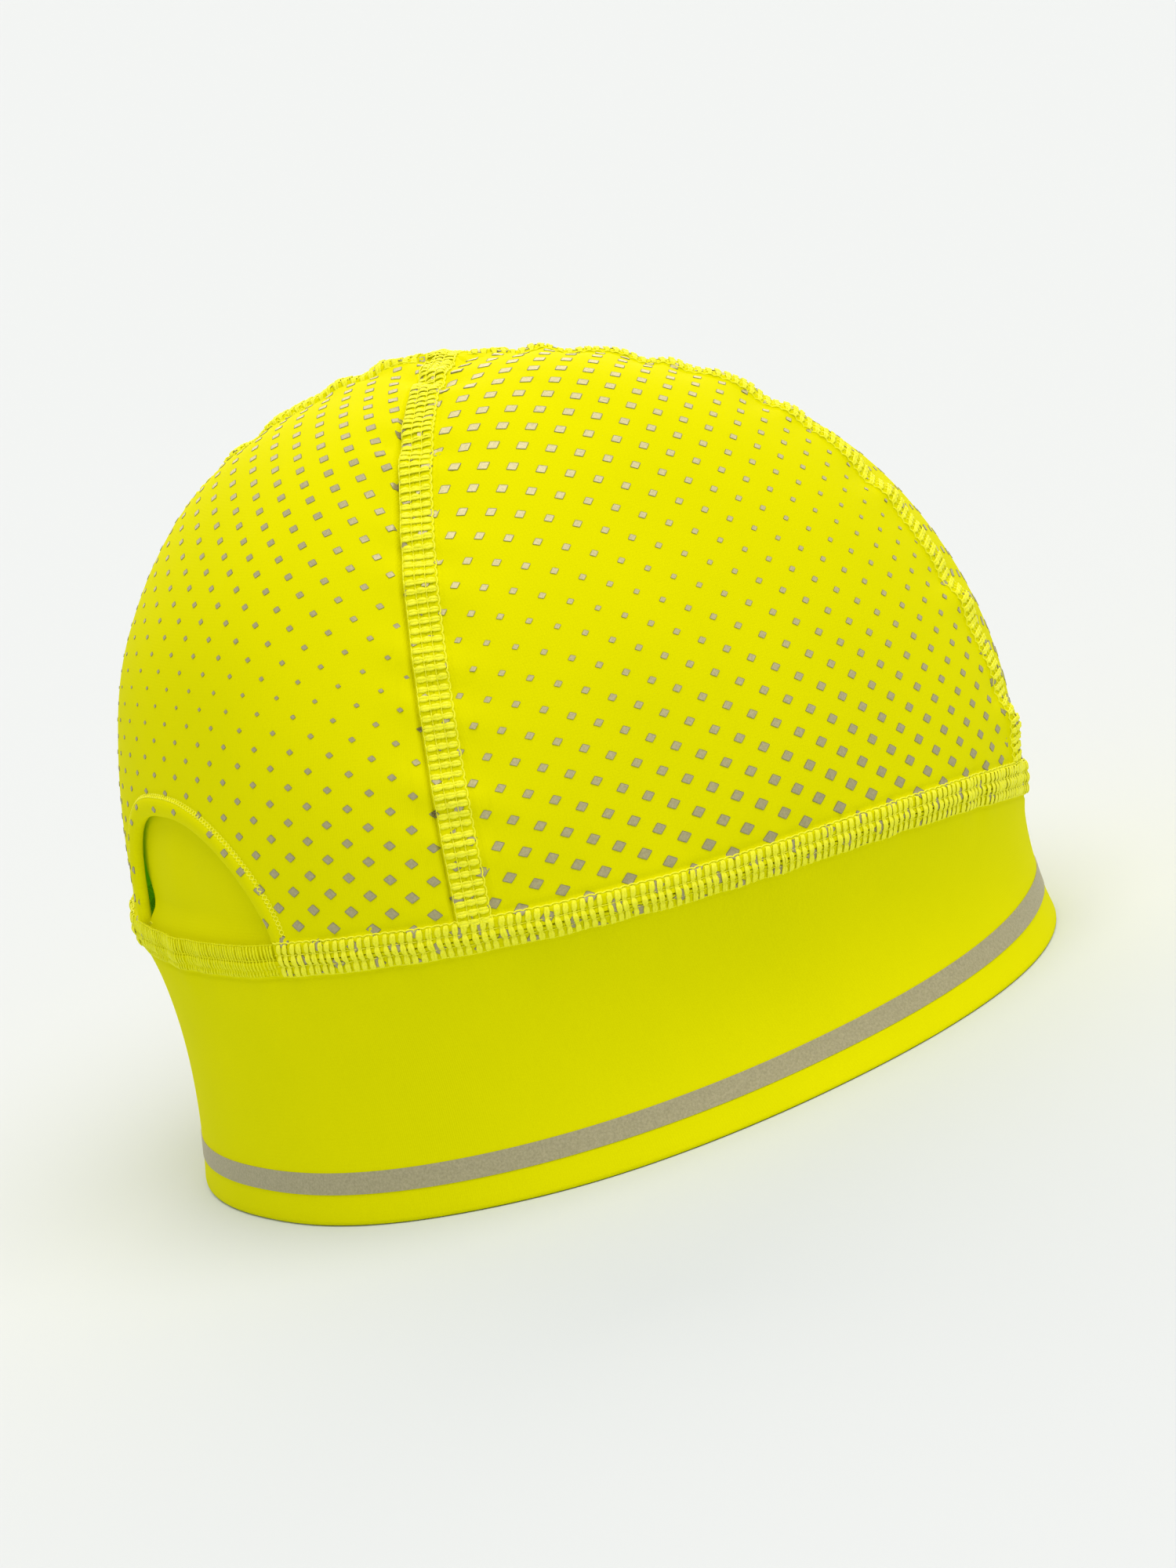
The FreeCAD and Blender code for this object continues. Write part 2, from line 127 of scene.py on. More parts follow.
def place_of(point):
    """Angle and climb of the dome's point nearest to a point close to the dome."""
    x, z = point[..., 0] - DOME_CENTRE, point[..., 2] - WAIST_HEIGHT
    cos, sin = math.cos(DOME_TILT), math.sin(DOME_TILT)
    forward, rise = x * cos - z * sin, x * sin + z * cos
    across = signed_power(point[..., 1] / (DOME_WIDTH / 2), DOME_POWER / 2)
    angle = np.arctan2(across, forward)
    for _ in range(6):
        along = signed_power(forward / (DOME_LENGTH / 2) / (1 + DOME_NOSE * np.cos(angle)),
                             DOME_POWER / 2)
        angle = np.arctan2(across, along)
    ring = (across ** 2 + along ** 2) ** (1 / DOME_POWER)
    latitude = np.arctan2(signed_power(rise / CROWN_RISE, 1 / around(RISE_POWERS, angle)),
                          ring ** (1 / around(PLAN_POWERS, angle)))
    start = np.radians(around(SEAM_LATITUDES, angle))
    return angle, (latitude - start) / (math.pi / 2 - start)


def hem(angle):
    x = HEM_LENGTH / 2 * signed_power(np.cos(angle), 2 / HEM_POWER)
    y = HEM_WIDTH / 2 * signed_power(np.sin(angle), 2 / HEM_POWER) * (1 - HEM_TAPER * np.cos(angle))
    return xyz(x, y, 0 * x)


def band(angle, share):
    """The headband's outer face: share is 0 on the hem and 1 on the band seam."""
    angle, share = np.broadcast_arrays(angle, share)
    bow = around(BAND_BOWS, angle) * 4 * share * (1 - share)
    outward = xyz(np.cos(angle), np.sin(angle), 0 * angle) * bow[..., None]
    top = dome(angle, np.zeros_like(angle))
    return top * share[..., None] + hem(angle) * (1 - share[..., None]) + outward


def normal(place, angle, along, step=1e-3):
    turn = place(angle + step, along) - place(angle - step, along)
    rise = place(angle, along + step) - place(angle, along - step)
    return unit(np.cross(turn, rise))


def reach(angle, climb, step=1e-3):
    """Millimetres per radian round the dome."""
    chord = dome(angle + step, climb) - dome(angle - step, climb)
    return np.linalg.norm(chord, axis=-1) / (2 * step)


def along_at(place, start, angle, distance, most=1, sign=1):
    """The share at which place(angle, share) lies at a distance from start, found by halving.

    sign is -1 where a greater share lies nearer to start.
    """
    low, high = 0.0 * angle, 0.0 * angle + most
    for _ in range(26):
        middle = (low + high) / 2
        gap = sign * (np.linalg.norm(place(angle, middle) - start, axis=-1) - distance)
        low, high = np.where(gap < 0, middle, low), np.where(gap < 0, high, middle)
    return (low + high) / 2


def climb_at(angle, distance):
    """Climb at a distance over the band seam."""
    return along_at(dome, dome(angle, 0 * angle), angle, distance, most=0.7)


def share_at(angle, distance):
    """Share of the headband's height at a distance below the band seam."""
    return along_at(band, dome(angle, 0 * angle), angle, distance, sign=-1)


def share_over_hem(angle, distance):
    """Share of the headband's height at a distance over the hem."""
    return along_at(band, hem(angle), angle, distance)


def from_seam(point, angle):
    """Distance between a point and the band seam at the point's angle."""
    return np.linalg.norm(point - dome(angle, 0 * angle), axis=-1)


def wrap(angle):
    return (angle + math.pi) % TURN - math.pi


# ---- relief of the cloth

# Each gore seam: its angle, the side on which the cloth dips beside it, the phase of its puckers,
# and how far its threads draw the cloth in near the crown and lower down.
GORE_SEAMS = ((-REAR_SEAM, -1, 0.4, 1.0, 1.0), (-FRONT_SEAM, 1, 2.1, 1.7, 0.1),
              (FRONT_SEAM, 1, 3.6, 1.0, 1.0), (REAR_SEAM, 1, 5.2, 1.2, 1.6))
RIDGE = 0.55  # how far a seam's layers stand out
RIDGE_HALF, RING_HALF = 3.2, 3.5  # half widths of the gore seams and the band seam
GROOVE, GROOVE_HALF = 0.32, 0.32  # the channel along each seam's middle needle line
NEEDLES = np.array([-3.15, -1.05, 1.05, 3.15])
RING_NEEDLES = np.array([-3.5, -1.15, 1.15, 3.5])
FLAT_NEEDLES = np.array([-3.3, -2.1, 0.2, 3.3])
FURROW, FURROW_HALF = 2.9, 0.42  # the fold beside each gore seam, times DIP_DEPTH
CREASE, CREASE_HALF = 0.6, 0.5  # the shallow one on the seam's other side
DIP_DEPTH = 0.42
# How far puckers reach from the gore seams, over the band seam and under it.
PUCKER_REACH, RING_PUCKER_REACH, BAND_PUCKER_REACH = 9.5, 8.0, 7.0
DRAWN_REACH = 13  # how far from a seam its threads draw the cloth in
SLACK, SLACK_REACH = 2.2, 7.0  # how far the front and left panels sink
LUMP_HEIGHT, LUMP_REACH, LUMP_BACK = 1.6, 10, 8
HOLLOW_ANGLE, HOLLOW_SPREAD = math.radians(150), math.radians(17)  # left of the opening
NEAR_CROWN = 0.9995  # the climb where a seam's line ends


def seam_line(angle, count):
    """Climbs up a gore seam, and the lengths along it from the band seam."""
    climbs = np.linspace(0, 1, count) ** 1.3 * NEAR_CROWN
    return climbs, arc_lengths(dome(np.full_like(climbs, angle), climbs))


CLIMBS = seam_line(0, 260)[0]
ARCS = [seam_line(seam, 260)[1] for seam, *_ in GORE_SEAMS]

# The cloth makes a low lump just behind the crown, on the rear left seam.
LUMP = dome(np.array(REAR_SEAM), np.interp(ARCS[3][-1] - LUMP_BACK, ARCS[3], CLIMBS))

RING = np.linspace(-math.pi, math.pi, 721)
RING_ARC = arc_lengths(dome(RING, 0 * RING))
SEAM_ROUND = RING_ARC[-1]


def ring_arc(angle):
    """Length along the band seam from the back to an angle."""
    return np.interp(wrap(angle), RING, RING_ARC)


def gore_waves(s, phase):
    """Puckers along a gore seam."""
    return (0.55 * np.sin(TURN * s / 13.4 + phase) + 0.30 * np.sin(TURN * s / 8.9 + 2.3 * phase)
            + 0.35 * np.sin(TURN * s / 23.0 + 1.7 * phase))


def ring_waves(s):
    """Puckers along the band seam, a whole number of each round it."""
    k = TURN / SEAM_ROUND
    return (0.30 * np.sin(41 * k * s + 0.6) + 0.22 * np.sin(57 * k * s + 2.2)
            + 0.25 * np.sin(23 * k * s + 4.0))


def faded(away, length):
    """1 up to just past a seam's edge, then less and less."""
    return np.exp(-np.maximum(away - 4, 0) / length)


def ripples(point):
    """Slow, shallow unevenness of thin cloth, in mm."""
    x, y, z = point[..., 0], point[..., 1], point[..., 2]
    first = np.sin(x / 11.0 + 1.3 + 1.1 * np.sin(z / 19.0))
    second = np.sin(y / 9.0 + 0.7 + 0.9 * np.sin(x / 23.0))
    return (0.28 * first * np.sin(z / 13.0 + y / 21.0)
            + 0.22 * second * np.sin(z / 17.0 - x / 25.0 + 2.0))


def arch_side(y):
    """Half width and power of the opening's outline on the side where y lies."""
    return tuple(np.where(y > 0, left, right) for right, left in (ARCH_WIDTHS, ARCH_POWERS))


def arch_share(y, z):
    """1 on the ponytail opening's outline, less inside it; y and z are from its centre."""
    width, power = arch_side(y)
    return ((np.abs(y) / width) ** power + (np.abs(z) / ARCH_HEIGHT) ** power) ** (1 / power)


def arch_slope(y, z):
    """The way out from the outline, in y and z, and how fast the share grows on it."""
    width, power = arch_side(y)
    e = np.maximum(arch_share(y, z), 1e-6) ** (1 - power)
    dy = e * signed_power(y / width, power - 1) / width
    dz = e * signed_power(z / ARCH_HEIGHT, power - 1) / ARCH_HEIGHT
    return dy, dz, np.maximum(np.hypot(dy, dz), 1e-9)


def arch_outline(turn):
    """y and z of the outline, from the wearer's right foot at 0 to the left foot at pi."""
    width, power = arch_side(-np.cos(turn))
    y = -width * signed_power(np.cos(turn), 2 / power)
    return y, ARCH_HEIGHT * signed_power(np.sin(turn), 2 / power)


def from_arch(point):
    """y and z of a point from the opening's centre."""
    return point[..., 1] - ARCH_CENTRE, point[..., 2] - WAIST_HEIGHT - ARCH_BASE


def arch_distance(point):
    """Distance outside the ponytail opening's outline, negative inside, large in front."""
    y, z = from_arch(point)
    return np.where(point[..., 0] < 0, (arch_share(y, z) - 1) / arch_slope(y, z)[2], 1e3)


ARCH_BASE = float(dome(np.array(math.pi), np.array(0.0))[2]) - WAIST_HEIGHT


def under_arch(point):
    """Where the band seam is flat and fine, under the opening."""
    y = point[..., 1] - ARCH_CENTRE
    return (y > 0.3 - ARCH_WIDTHS[0]) & (y < ARCH_WIDTHS[1] + 7) & (point[..., 0] < 0)


def gore_relief(angle, climb, over):
    """Relief beside the gore seams, in parts: waves in mm, then shares of a ridge, dip and groove,
    how far the threads draw the cloth in, and the distances to the far side's border and the crown.
    """
    wave, ridge, dip, groove, pull = (0 * over for _ in range(5))
    border, crown = 0 * over + 99, 0 * over + 99
    for (seam, side, phase, drawn_high, drawn_low), arcs in zip(GORE_SEAMS, ARCS):
        turn = wrap(angle - seam)
        d = reach(seam + turn / 2, climb) * np.sin(np.clip(turn, -math.pi / 2, math.pi / 2))
        s = np.interp(climb, CLIMBS, arcs)
        left, away = arcs[-1] - s, np.abs(d)
        fade = smooth(over, 0, 12) * smooth(left, 0, 14)
        wave += fade * gore_waves(s + 0.25 * d, phase) * bell(away, 0, PUCKER_REACH) * 0.75
        short = np.sin(TURN * s / 5.3 + phase + np.sign(d) * 1.2) * 0.6
        short = short + np.sin(TURN * s / 3.7 + phase)
        wave += fade * short * 0.10 * smooth(away, 2.5, 4.2) * faded(away, 3.5)
        crown = np.minimum(crown, left)
        drawn = drawn_high + (drawn_low - drawn_high) * smooth(left, 38, 58)
        pull = np.maximum(pull, drawn * bell(away, 0, DRAWN_REACH) * (1 - bell(left, 0, 8)))
        if seam == -FRONT_SEAM:  # a bump where it meets the band seam
            wave += 1.1 * bell(d, 0, 7) * bell(over, 9, 6)
        if seam == REAR_SEAM:  # a saddle between the lump and the back
            wave -= 1.2 * bell(left, 40, 9) * bell(d, 0, 13)
        if seam in (-FRONT_SEAM, REAR_SEAM):
            border = np.minimum(border, away)
        groove = np.maximum(groove, bell(away, NEEDLES[2], GROOVE_HALF))
        ridge = np.maximum(ridge, 1 - smooth(away, RIDGE_HALF - 0.35, RIDGE_HALF + 0.45))
        below_crown = smooth(left, 3, 10)
        furrow = bell(d * side, RIDGE_HALF + 0.75, FURROW_HALF) * FURROW
        crease = bell(d * side, -RIDGE_HALF - 0.65, CREASE_HALF) * CREASE
        dip = np.maximum(dip, np.maximum(furrow, crease) * below_crown)
    return wave, ridge, dip, groove, pull, border, crown


def dome_relief(angle, climb, ridges=True):
    """How far the cloth stands out from the smooth wall, in mm."""
    point = dome(angle, climb)
    over = from_seam(point, angle)
    wave, ridge, dip, groove, pull, border, crown = gore_relief(angle, climb, over)
    s = ring_arc(angle)
    wave += ring_waves(s) * bell(over, 0, RING_PUCKER_REACH) * 0.6
    short = np.sin(TURN * s / 4.6) * 0.6 + np.sin(TURN * s / 3.1 + 1.0)
    wave += short * 0.10 * smooth(over, 2.5, 4.0) * faded(over, 3.0)
    ridge = np.maximum(ridge, 1 - smooth(over, RING_HALF - 0.35, RING_HALF + 0.45))
    dip = np.maximum(dip, bell(over, RING_HALF + 0.8, 0.6) * CREASE)
    flat = under_arch(point)
    needle = np.where(flat, FLAT_NEEDLES[2], RING_NEEDLES[2])
    groove = np.maximum(groove, bell(over, needle, GROOVE_HALF) * (1 - 0.5 * flat))
    wave += ripples(point) * smooth(over, 0, 10)
    wave -= pull * smooth(over, 8, 60) + 0.6 * bell(crown, 0, 12)
    wave += LUMP_HEIGHT * np.exp(-((point - LUMP) ** 2).sum(-1) / LUMP_REACH ** 2)
    hollow = bell(wrap(angle), HOLLOW_ANGLE, HOLLOW_SPREAD)
    wave -= 0.8 * hollow * smooth(over, 0, 8) * (1 - smooth(over, 35, 60))
    far_side = (wrap(angle) > -FRONT_SEAM) & (wrap(angle) < REAR_SEAM)
    wave -= SLACK * far_side * (1 - bell(border, 0, SLACK_REACH)) * smooth(over, 45, 105)
    dip = DIP_DEPTH * dip * (1 - ridge)
    if not ridges:
        return wave - dip
    arch = arch_distance(point)
    puff = 0.30 + 0.35 * np.sin(math.pi * np.clip(arch / ARCH_HEM, 0, 1))
    turned = puff * (1 - smooth(arch, ARCH_HEM - 0.25, ARCH_HEM + 0.35)) * smooth(over, 2, 5)
    stitch = 0.25 * bell(arch, ARCH_HEM + 0.15, 0.45) * smooth(over, 3, 5)
    return wave + RIDGE * ridge - GROOVE * groove * ridge - dip + turned * (1 - ridge) - stitch


def band_relief(angle, share, below):
    """How far the headband stands out from its smooth wall, in mm."""
    s = ring_arc(angle)
    wave = ring_waves(s) * bell(below, 0, BAND_PUCKER_REACH) * 0.6
    short = np.sin(TURN * s / 4.9 + 1.0) * 0.6 + np.sin(TURN * s / 3.3)
    wave += short * 0.06 * smooth(below, 3.0, 4.2) * faded(below, 3.0)
    ridge = 1 - smooth(below, RING_HALF - 0.4, RING_HALF + 0.25)
    dip = 0.25 * bell(below, RING_HALF + 0.55, 0.4)
    point = band(angle, share)
    flat = under_arch(point)
    needle = np.where(flat, -FLAT_NEEDLES[1], RING_NEEDLES[2])
    groove = bell(below, needle, GROOVE_HALF) * (1 - 0.5 * flat)
    slow = 0.8 * ripples(point) * smooth(below, 0, 10)
    return wave + (RIDGE - GROOVE * groove) * ridge - dip + slow


def dressed(angle, climb, lift=0.0, ridges=True):
    """Points of the dome's cloth, lifted off it by lift, and the wall's normals there."""
    n = normal(dome, angle, np.clip(climb, 0, 0.9985))
    return dome(angle, climb) + n * (dome_relief(angle, climb, ridges) + lift)[..., None], n


def dressed_band(angle, share, lift=0.0):
    """The same for the headband's cloth."""
    n = normal(band, angle, np.clip(share, 0.001, 0.999))
    point = band(angle, share)
    return point + n * (band_relief(angle, share, from_seam(point, angle)) + lift)[..., None], n


# ---- meshes

def grid_faces(columns, rows):
    """The four-cornered faces of a grid whose points go up each column in turn."""
    i, j = np.arange(columns - 1)[:, None], np.arange(rows - 1)[None]
    first, after = i * rows + j, (i + 1) * rows + j
    return np.stack([first, after, after + 1, first + 1], -1).reshape(-1, 4)


def boundary(columns, rows):
    """The vertex numbers once round a grid's edge."""
    bottom = np.arange(columns) * rows
    right = (columns - 1) * rows + np.arange(rows)
    top = np.arange(columns)[::-1] * rows + rows - 1
    left = np.arange(rows)[::-1]
    return np.concatenate([bottom[:-1], right[:-1], top[:-1], left[:-1]])


def add_object(name, data):
    made = bpy.data.objects.new(name, data)
    bpy.context.scene.collection.objects.link(made)
    return made


def make_mesh(name, points, faces, material, slot, stands_for=None, body="root", uv=None, crease=50,
              indices=None, others=()):
    """A piece from points in mm and four-cornered faces. It rides on body unless that is None."""
    points, faces = np.asarray(points, float).reshape(-1, 3), np.asarray(faces, np.int64)
    mesh = bpy.data.meshes.new(name)
    mesh.vertices.add(len(points))
    mesh.vertices.foreach_set("co", (points * MM).astype(np.float32).ravel())
    mesh.loops.add(faces.size)
    mesh.loops.foreach_set("vertex_index", faces.astype(np.int32).ravel())
    mesh.polygons.add(len(faces))
    mesh.polygons.foreach_set("loop_start", np.arange(0, faces.size, 4, dtype=np.int32))
    mesh.polygons.foreach_set("use_smooth", np.ones(len(faces), bool))
    if uv is not None:
        uv = np.asarray(uv, np.float32).reshape(-1, 2)[faces.ravel()]
        mesh.uv_layers.new(name="cut").data.foreach_set("uv", uv.ravel())
    if indices is not None:
        mesh.polygons.foreach_set("material_index", indices.astype(np.int32))
    mesh.update(calc_edges=True)
    mesh.validate()
    if crease:
        mesh.set_sharp_from_angle(angle=math.radians(crease))
    for m in (material, *others):
        mesh.materials.append(m)
    piece = add_object(name, mesh)
    if body:
        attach(piece, body)
    if stands_for:
        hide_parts(stands_for)
    return piece


def shell(outer, inner, rim=None, rim_steps=1):
    """Points and faces of a closed sheet between two grids of points.

    rim holds, for each vertex round the edge, how far its edge bulges, as vectors in mm.
    """
    columns, rows = outer.shape[:2]
    points = [outer.reshape(-1, 3), inner.reshape(-1, 3)]
    count, front, loop = columns * rows, grid_faces(columns, rows), boundary(columns, rows)
    rings = [loop]
    for step in range(1, rim_steps):
        turn = math.pi * step / rim_steps
        share = (1 - math.cos(turn)) / 2
        bulge = 0 if rim is None else rim * math.sin(turn)
        points.append(points[0][loop] * (1 - share) + points[1][loop] * share + bulge)
        rings.append(2 * count + (step - 1) * len(loop) + np.arange(len(loop)))
    rings.append(loop + count)
    faces = [front, front[:, ::-1] + count]
    for first, second in zip(rings, rings[1:]):
        faces.append(np.stack([first, second, np.roll(second, -1), np.roll(first, -1)], -1))
    return np.concatenate(points), np.concatenate(faces)


THREAD_SIDES, THREAD_END = 6, 0.45  # a thread's section, and how narrow its ends are
THREAD_CAP = np.array([[0, 1, 2, 3], [0, 3, 4, 5]])


def tubes(paths, ups, across, tall):
    """Threads: paths and ups are (threads, points, 3); across and tall are their half widths."""
    threads, count = paths.shape[:2]
    tangent = unit(np.gradient(paths, axis=1))
    side = unit(np.cross(tangent, ups))
    up = np.cross(side, tangent)
    across, tall = (np.broadcast_to(half, (threads, count)).copy() for half in (across, tall))
    for half in (across, tall):
        half[:, [0, -1]] *= THREAD_END
    turn = TURN * np.arange(THREAD_SIDES) / THREAD_SIDES
    ring = (side[:, :, None] * (np.cos(turn) * across[..., None])[..., None]
            + up[:, :, None] * (np.sin(turn) * tall[..., None])[..., None])
    points = (paths[:, :, None] + ring).reshape(-1, 3)
    j, k = np.arange(count - 1)[:, None] * THREAD_SIDES, np.arange(THREAD_SIDES)
    j2, k2 = j + THREAD_SIDES, (k + 1) % THREAD_SIDES
    body = np.stack([j + k2, j2 + k2, j2 + k, j + k], -1).reshape(-1, 4)
    one = np.concatenate([body, THREAD_CAP, (count - 1) * THREAD_SIDES + THREAD_CAP[:, ::-1]])
    starts = np.arange(threads) * count * THREAD_SIDES
    return points, (one[None] + starts[:, None, None]).reshape(-1, 4)


def joined(parts):
    """Points and faces of several parts as one."""
    points, faces, used = [], [], 0
    for p, f in parts:
        points.append(p)
        faces.append(f + used)
        used += len(p)
    return np.concatenate(points), np.concatenate(faces)


def edge_uv(uv, columns, rows, total):
    """Flat coordinates for a shell: both faces, then the points round its edge."""
    rim = np.resize(uv[boundary(columns, rows)], (total - 2 * len(uv), 2))
    return np.concatenate([uv, uv, rim])


# ---- materials

def new_material(name, roughness, gloss, metal=0.0):
    """A material, its nodes and its shader."""
    material = bpy.data.materials.new(name)
    material.use_nodes = True
    tree = material.node_tree
    shader = tree.nodes["Principled BSDF"]
    shader.inputs["Roughness"].default_value = roughness
    shader.inputs["Specular IOR Level"].default_value = gloss
    shader.inputs["Metallic"].default_value = metal
    return material, tree, shader


def node(tree, kind, values=None, **settings):
    made = tree.nodes.new(kind)
    for key, value in settings.items():
        setattr(made, key, value)
    for key, value in (values or {}).items():
        made.inputs[key].default_value = value
    return made


def link(tree, first, output, second, entry):
    tree.links.new(first.outputs[output], second.inputs[entry])


def texture(tree, kind, source, output, values, **settings):
    """A texture laid out by one output of a node."""
    made = node(tree, kind, values, **settings)
    link(tree, source, output, made, "Vector")
    return made


def ramp(tree, source, output, stops):
    """A colour ramp fed by one output of a node."""
    made = tree.nodes.new("ShaderNodeValToRGB")
    elements = made.color_ramp.elements
    while len(elements) < len(stops):
        elements.new(0.5)
    for element, (place, colour) in zip(elements, stops):
        element.position = place
        element.color = (*colour, 1)
    link(tree, source, output, made, "Fac")
    return made


def multiplied(tree, first, second, shader):
    """Two ramps' colours, multiplied, as the shader's colour."""
    both = node(tree, "ShaderNodeMix", {"Factor": 1.0}, data_type="RGBA", blend_type="MULTIPLY")
    link(tree, first, "Color", both, "A")
    link(tree, second, "Color", both, "B")
    link(tree, both, "Result", shader, "Base Color")


def bumped(tree, source, output, shader, strength, distance):
    bump = node(tree, "ShaderNodeBump", {"Strength": strength, "Distance": distance})
    link(tree, source, output, bump, "Height")
    link(tree, bump, "Normal", shader, "Normal")


def knit_material(name, colour, deep, glow=None):
    """Fine warp knit: rows of tiny loops, with a slow unevenness of tone.

    The glow colour is painted light: an emission on the cloth's inner face that stands in for the
    daylight that comes through the thin cloth.
    """
    material, tree, shader = new_material(name, 0.72, 0.015)
    # Painted light: the face glows, standing in for daylight through the cloth.
    if glow:
        shader.inputs["Emission Color"].default_value = (*glow, 1)
        shader.inputs["Emission Strength"].default_value = 1.0
    uv = node(tree, "ShaderNodeUVMap", uv_map="cut")
    place = node(tree, "ShaderNodeTexCoord")
    wales = texture(tree, "ShaderNodeTexWave", uv, "UV",
                    {"Scale": 0.62, "Distortion": 0.7, "Detail": 1.0, "Detail Scale": 2.0},
                    wave_type="BANDS", bands_direction="X", wave_profile="SIN")
    courses = texture(tree, "ShaderNodeTexWave", uv, "UV",
                      {"Scale": 0.5, "Distortion": 1.2, "Detail": 1.0},
                      wave_type="BANDS", bands_direction="Y", wave_profile="SIN")
    loops = node(tree, "ShaderNodeMath", {1: 0.35}, operation="MULTIPLY_ADD")
    link(tree, courses, "Fac", loops, 0)
    link(tree, wales, "Fac", loops, 2)
    bumped(tree, loops, 0, shader, 0.25, 0.00006)
    cloud = texture(tree, "ShaderNodeTexNoise", place, "Object",
                    {"Scale": 38.0, "Detail": 3.0, "Roughness": 0.55})
    fibre = texture(tree, "ShaderNodeTexNoise", uv, "UV", {"Scale": 4.0, "Detail": 2.0})
    tone = ramp(tree, cloud, "Fac", [(0.30, deep), (0.70, colour)])
    speck = ramp(tree, fibre, "Fac", [(0.25, (0.94, 0.94, 0.90)), (0.75, (1.0, 1.0, 1.0))])
    multiplied(tree, tone, speck, shader)
    return material


def thread_material(name, colour, deep):
    """Bulked polyester thread: twisted filaments, lighter where they bunch."""
    material, tree, shader = new_material(name, 0.5, 0.10)
    place = node(tree, "ShaderNodeTexCoord")
    strands = texture(tree, "ShaderNodeTexNoise", place, "Object",
                      {"Scale": 2600.0, "Detail": 2.0, "Roughness": 0.6})
    tone = ramp(tree, strands, "Fac", [(0.32, deep), (0.62, colour)])
    link(tree, tone, "Color", shader, "Base Color")
    bumped(tree, strands, "Fac", shader, 0.5, 0.00008)
    return material


def film_material(name, colour, deep, roughness=0.5, metal=0.0, gloss=0.5, heights=None):
    """Retroreflective film: a grey layer of fine glass beads.

    The height ramp is painted light: it makes the film darker low down and lighter towards the
    crown, as if lit from overhead; it holds the share of its colour at each share of the dome's
    height.
    """
    material, tree, shader = new_material(name, roughness, gloss, metal)
    place = node(tree, "ShaderNodeTexCoord")
    beads = texture(tree, "ShaderNodeTexVoronoi", place, "Object",
                    {"Scale": 3200.0, "Randomness": 1.0})
    grain = texture(tree, "ShaderNodeTexNoise", place, "Object",
                    {"Scale": 2100.0, "Detail": 3.0, "Roughness": 0.7})
    tone = ramp(tree, grain, "Fac", [(0.33, deep), (0.67, colour)])
    # Painted light: the colour is darker low down and lighter towards the crown, by height in the
    # object.
    if heights:
        split = node(tree, "ShaderNodeSeparateXYZ")
        link(tree, place, "Object", split, "Vector")
        level = node(tree, "ShaderNodeMapRange", {"From Min": 0.055, "From Max": 0.150})
        link(tree, split, "Z", level, "Value")
        share = ramp(tree, level, "Result", [(at, (grey, grey, grey)) for at, grey in heights])
        multiplied(tree, tone, share, shader)
    else:
        link(tree, tone, "Color", shader, "Base Color")
    bumped(tree, beads, "Distance", shader, 0.25, 0.00005)
    return material


KNIT = knit_material("yellow_knit", (0.83, 0.82, 0.0), (0.80, 0.80, 0.0))
# The cloth's inner face: a slightly greener knit with a painted glow, a dim green emission that
# stands in for daylight coming through the thin cloth.
KNIT_INSIDE = knit_material("yellow_knit_inside_painted_glow", (0.80, 0.82, 0.0), (0.76, 0.79, 0.0),
                            (0.02, 0.085, 0.0))
THREAD = thread_material("yellow_thread", (0.97, 0.97, 0.06), (0.91, 0.92, 0.01))
FINE_THREAD = thread_material("yellow_fine_thread", (0.90, 0.91, 0.01), (0.80, 0.82, 0.0))
FILM = film_material("reflective_film", (0.45, 0.41, 0.25), (0.32, 0.295, 0.17))
PRINT = film_material("reflective_print", (0.44, 0.40, 0.205), (0.33, 0.30, 0.15), 0.45, 0.45, 0.9)
# The side and front prints carry painted light: their film is scaled by height, darker low down and
# lighter towards the crown, as if lit from overhead.
SIDE_PRINT = film_material("reflective_side_print_painted_light", (0.72, 0.655, 0.325), (0.55, 0.50, 0.245),
                           0.52, 0.15, 0.6, [(0.0, 0.60), (0.28, 0.77), (0.50, 0.86), (0.66, 0.97),
                                             (0.80, 1.0), (1.0, 1.0)])
# Painted shade: a darker copy of the film for the squares' side walls and outer ring, standing in
# for the shade at their edges.
FILM_EDGE_SHADE = film_material("reflective_film_edge_painted_shade", (0.29, 0.275, 0.11), (0.22, 0.21, 0.08), 0.7)
SATIN = film_material("label_satin", (0.84, 0.83, 0.80), (0.78, 0.77, 0.74), 0.38)


# ---- panels

EDGE_STEPS = np.concatenate([np.arange(0, 5.4, 0.4), [6.0, 6.8, 7.8]])  # grid lines beside a seam
EDGE_COUNT = len(EDGE_STEPS) - 1
MIDDLE, RISING, FOOT = 74, 84, 13  # columns between, rows, and columns beside the opening
EDGE_GAP = 0.02  # between a panel's edge and the seam's line


def at_yz(y, z):
    """Angle and climb of the dome's back at a given y and z from the opening's centre."""
    y, z = y + ARCH_CENTRE, z + WAIST_HEIGHT + ARCH_BASE
    x = 0 * y - DOME_LENGTH / 2
    for _ in range(12):
        angle, climb = place_of(xyz(x, y, z))
        x = dome(angle, climb)[..., 0]
    return angle, climb


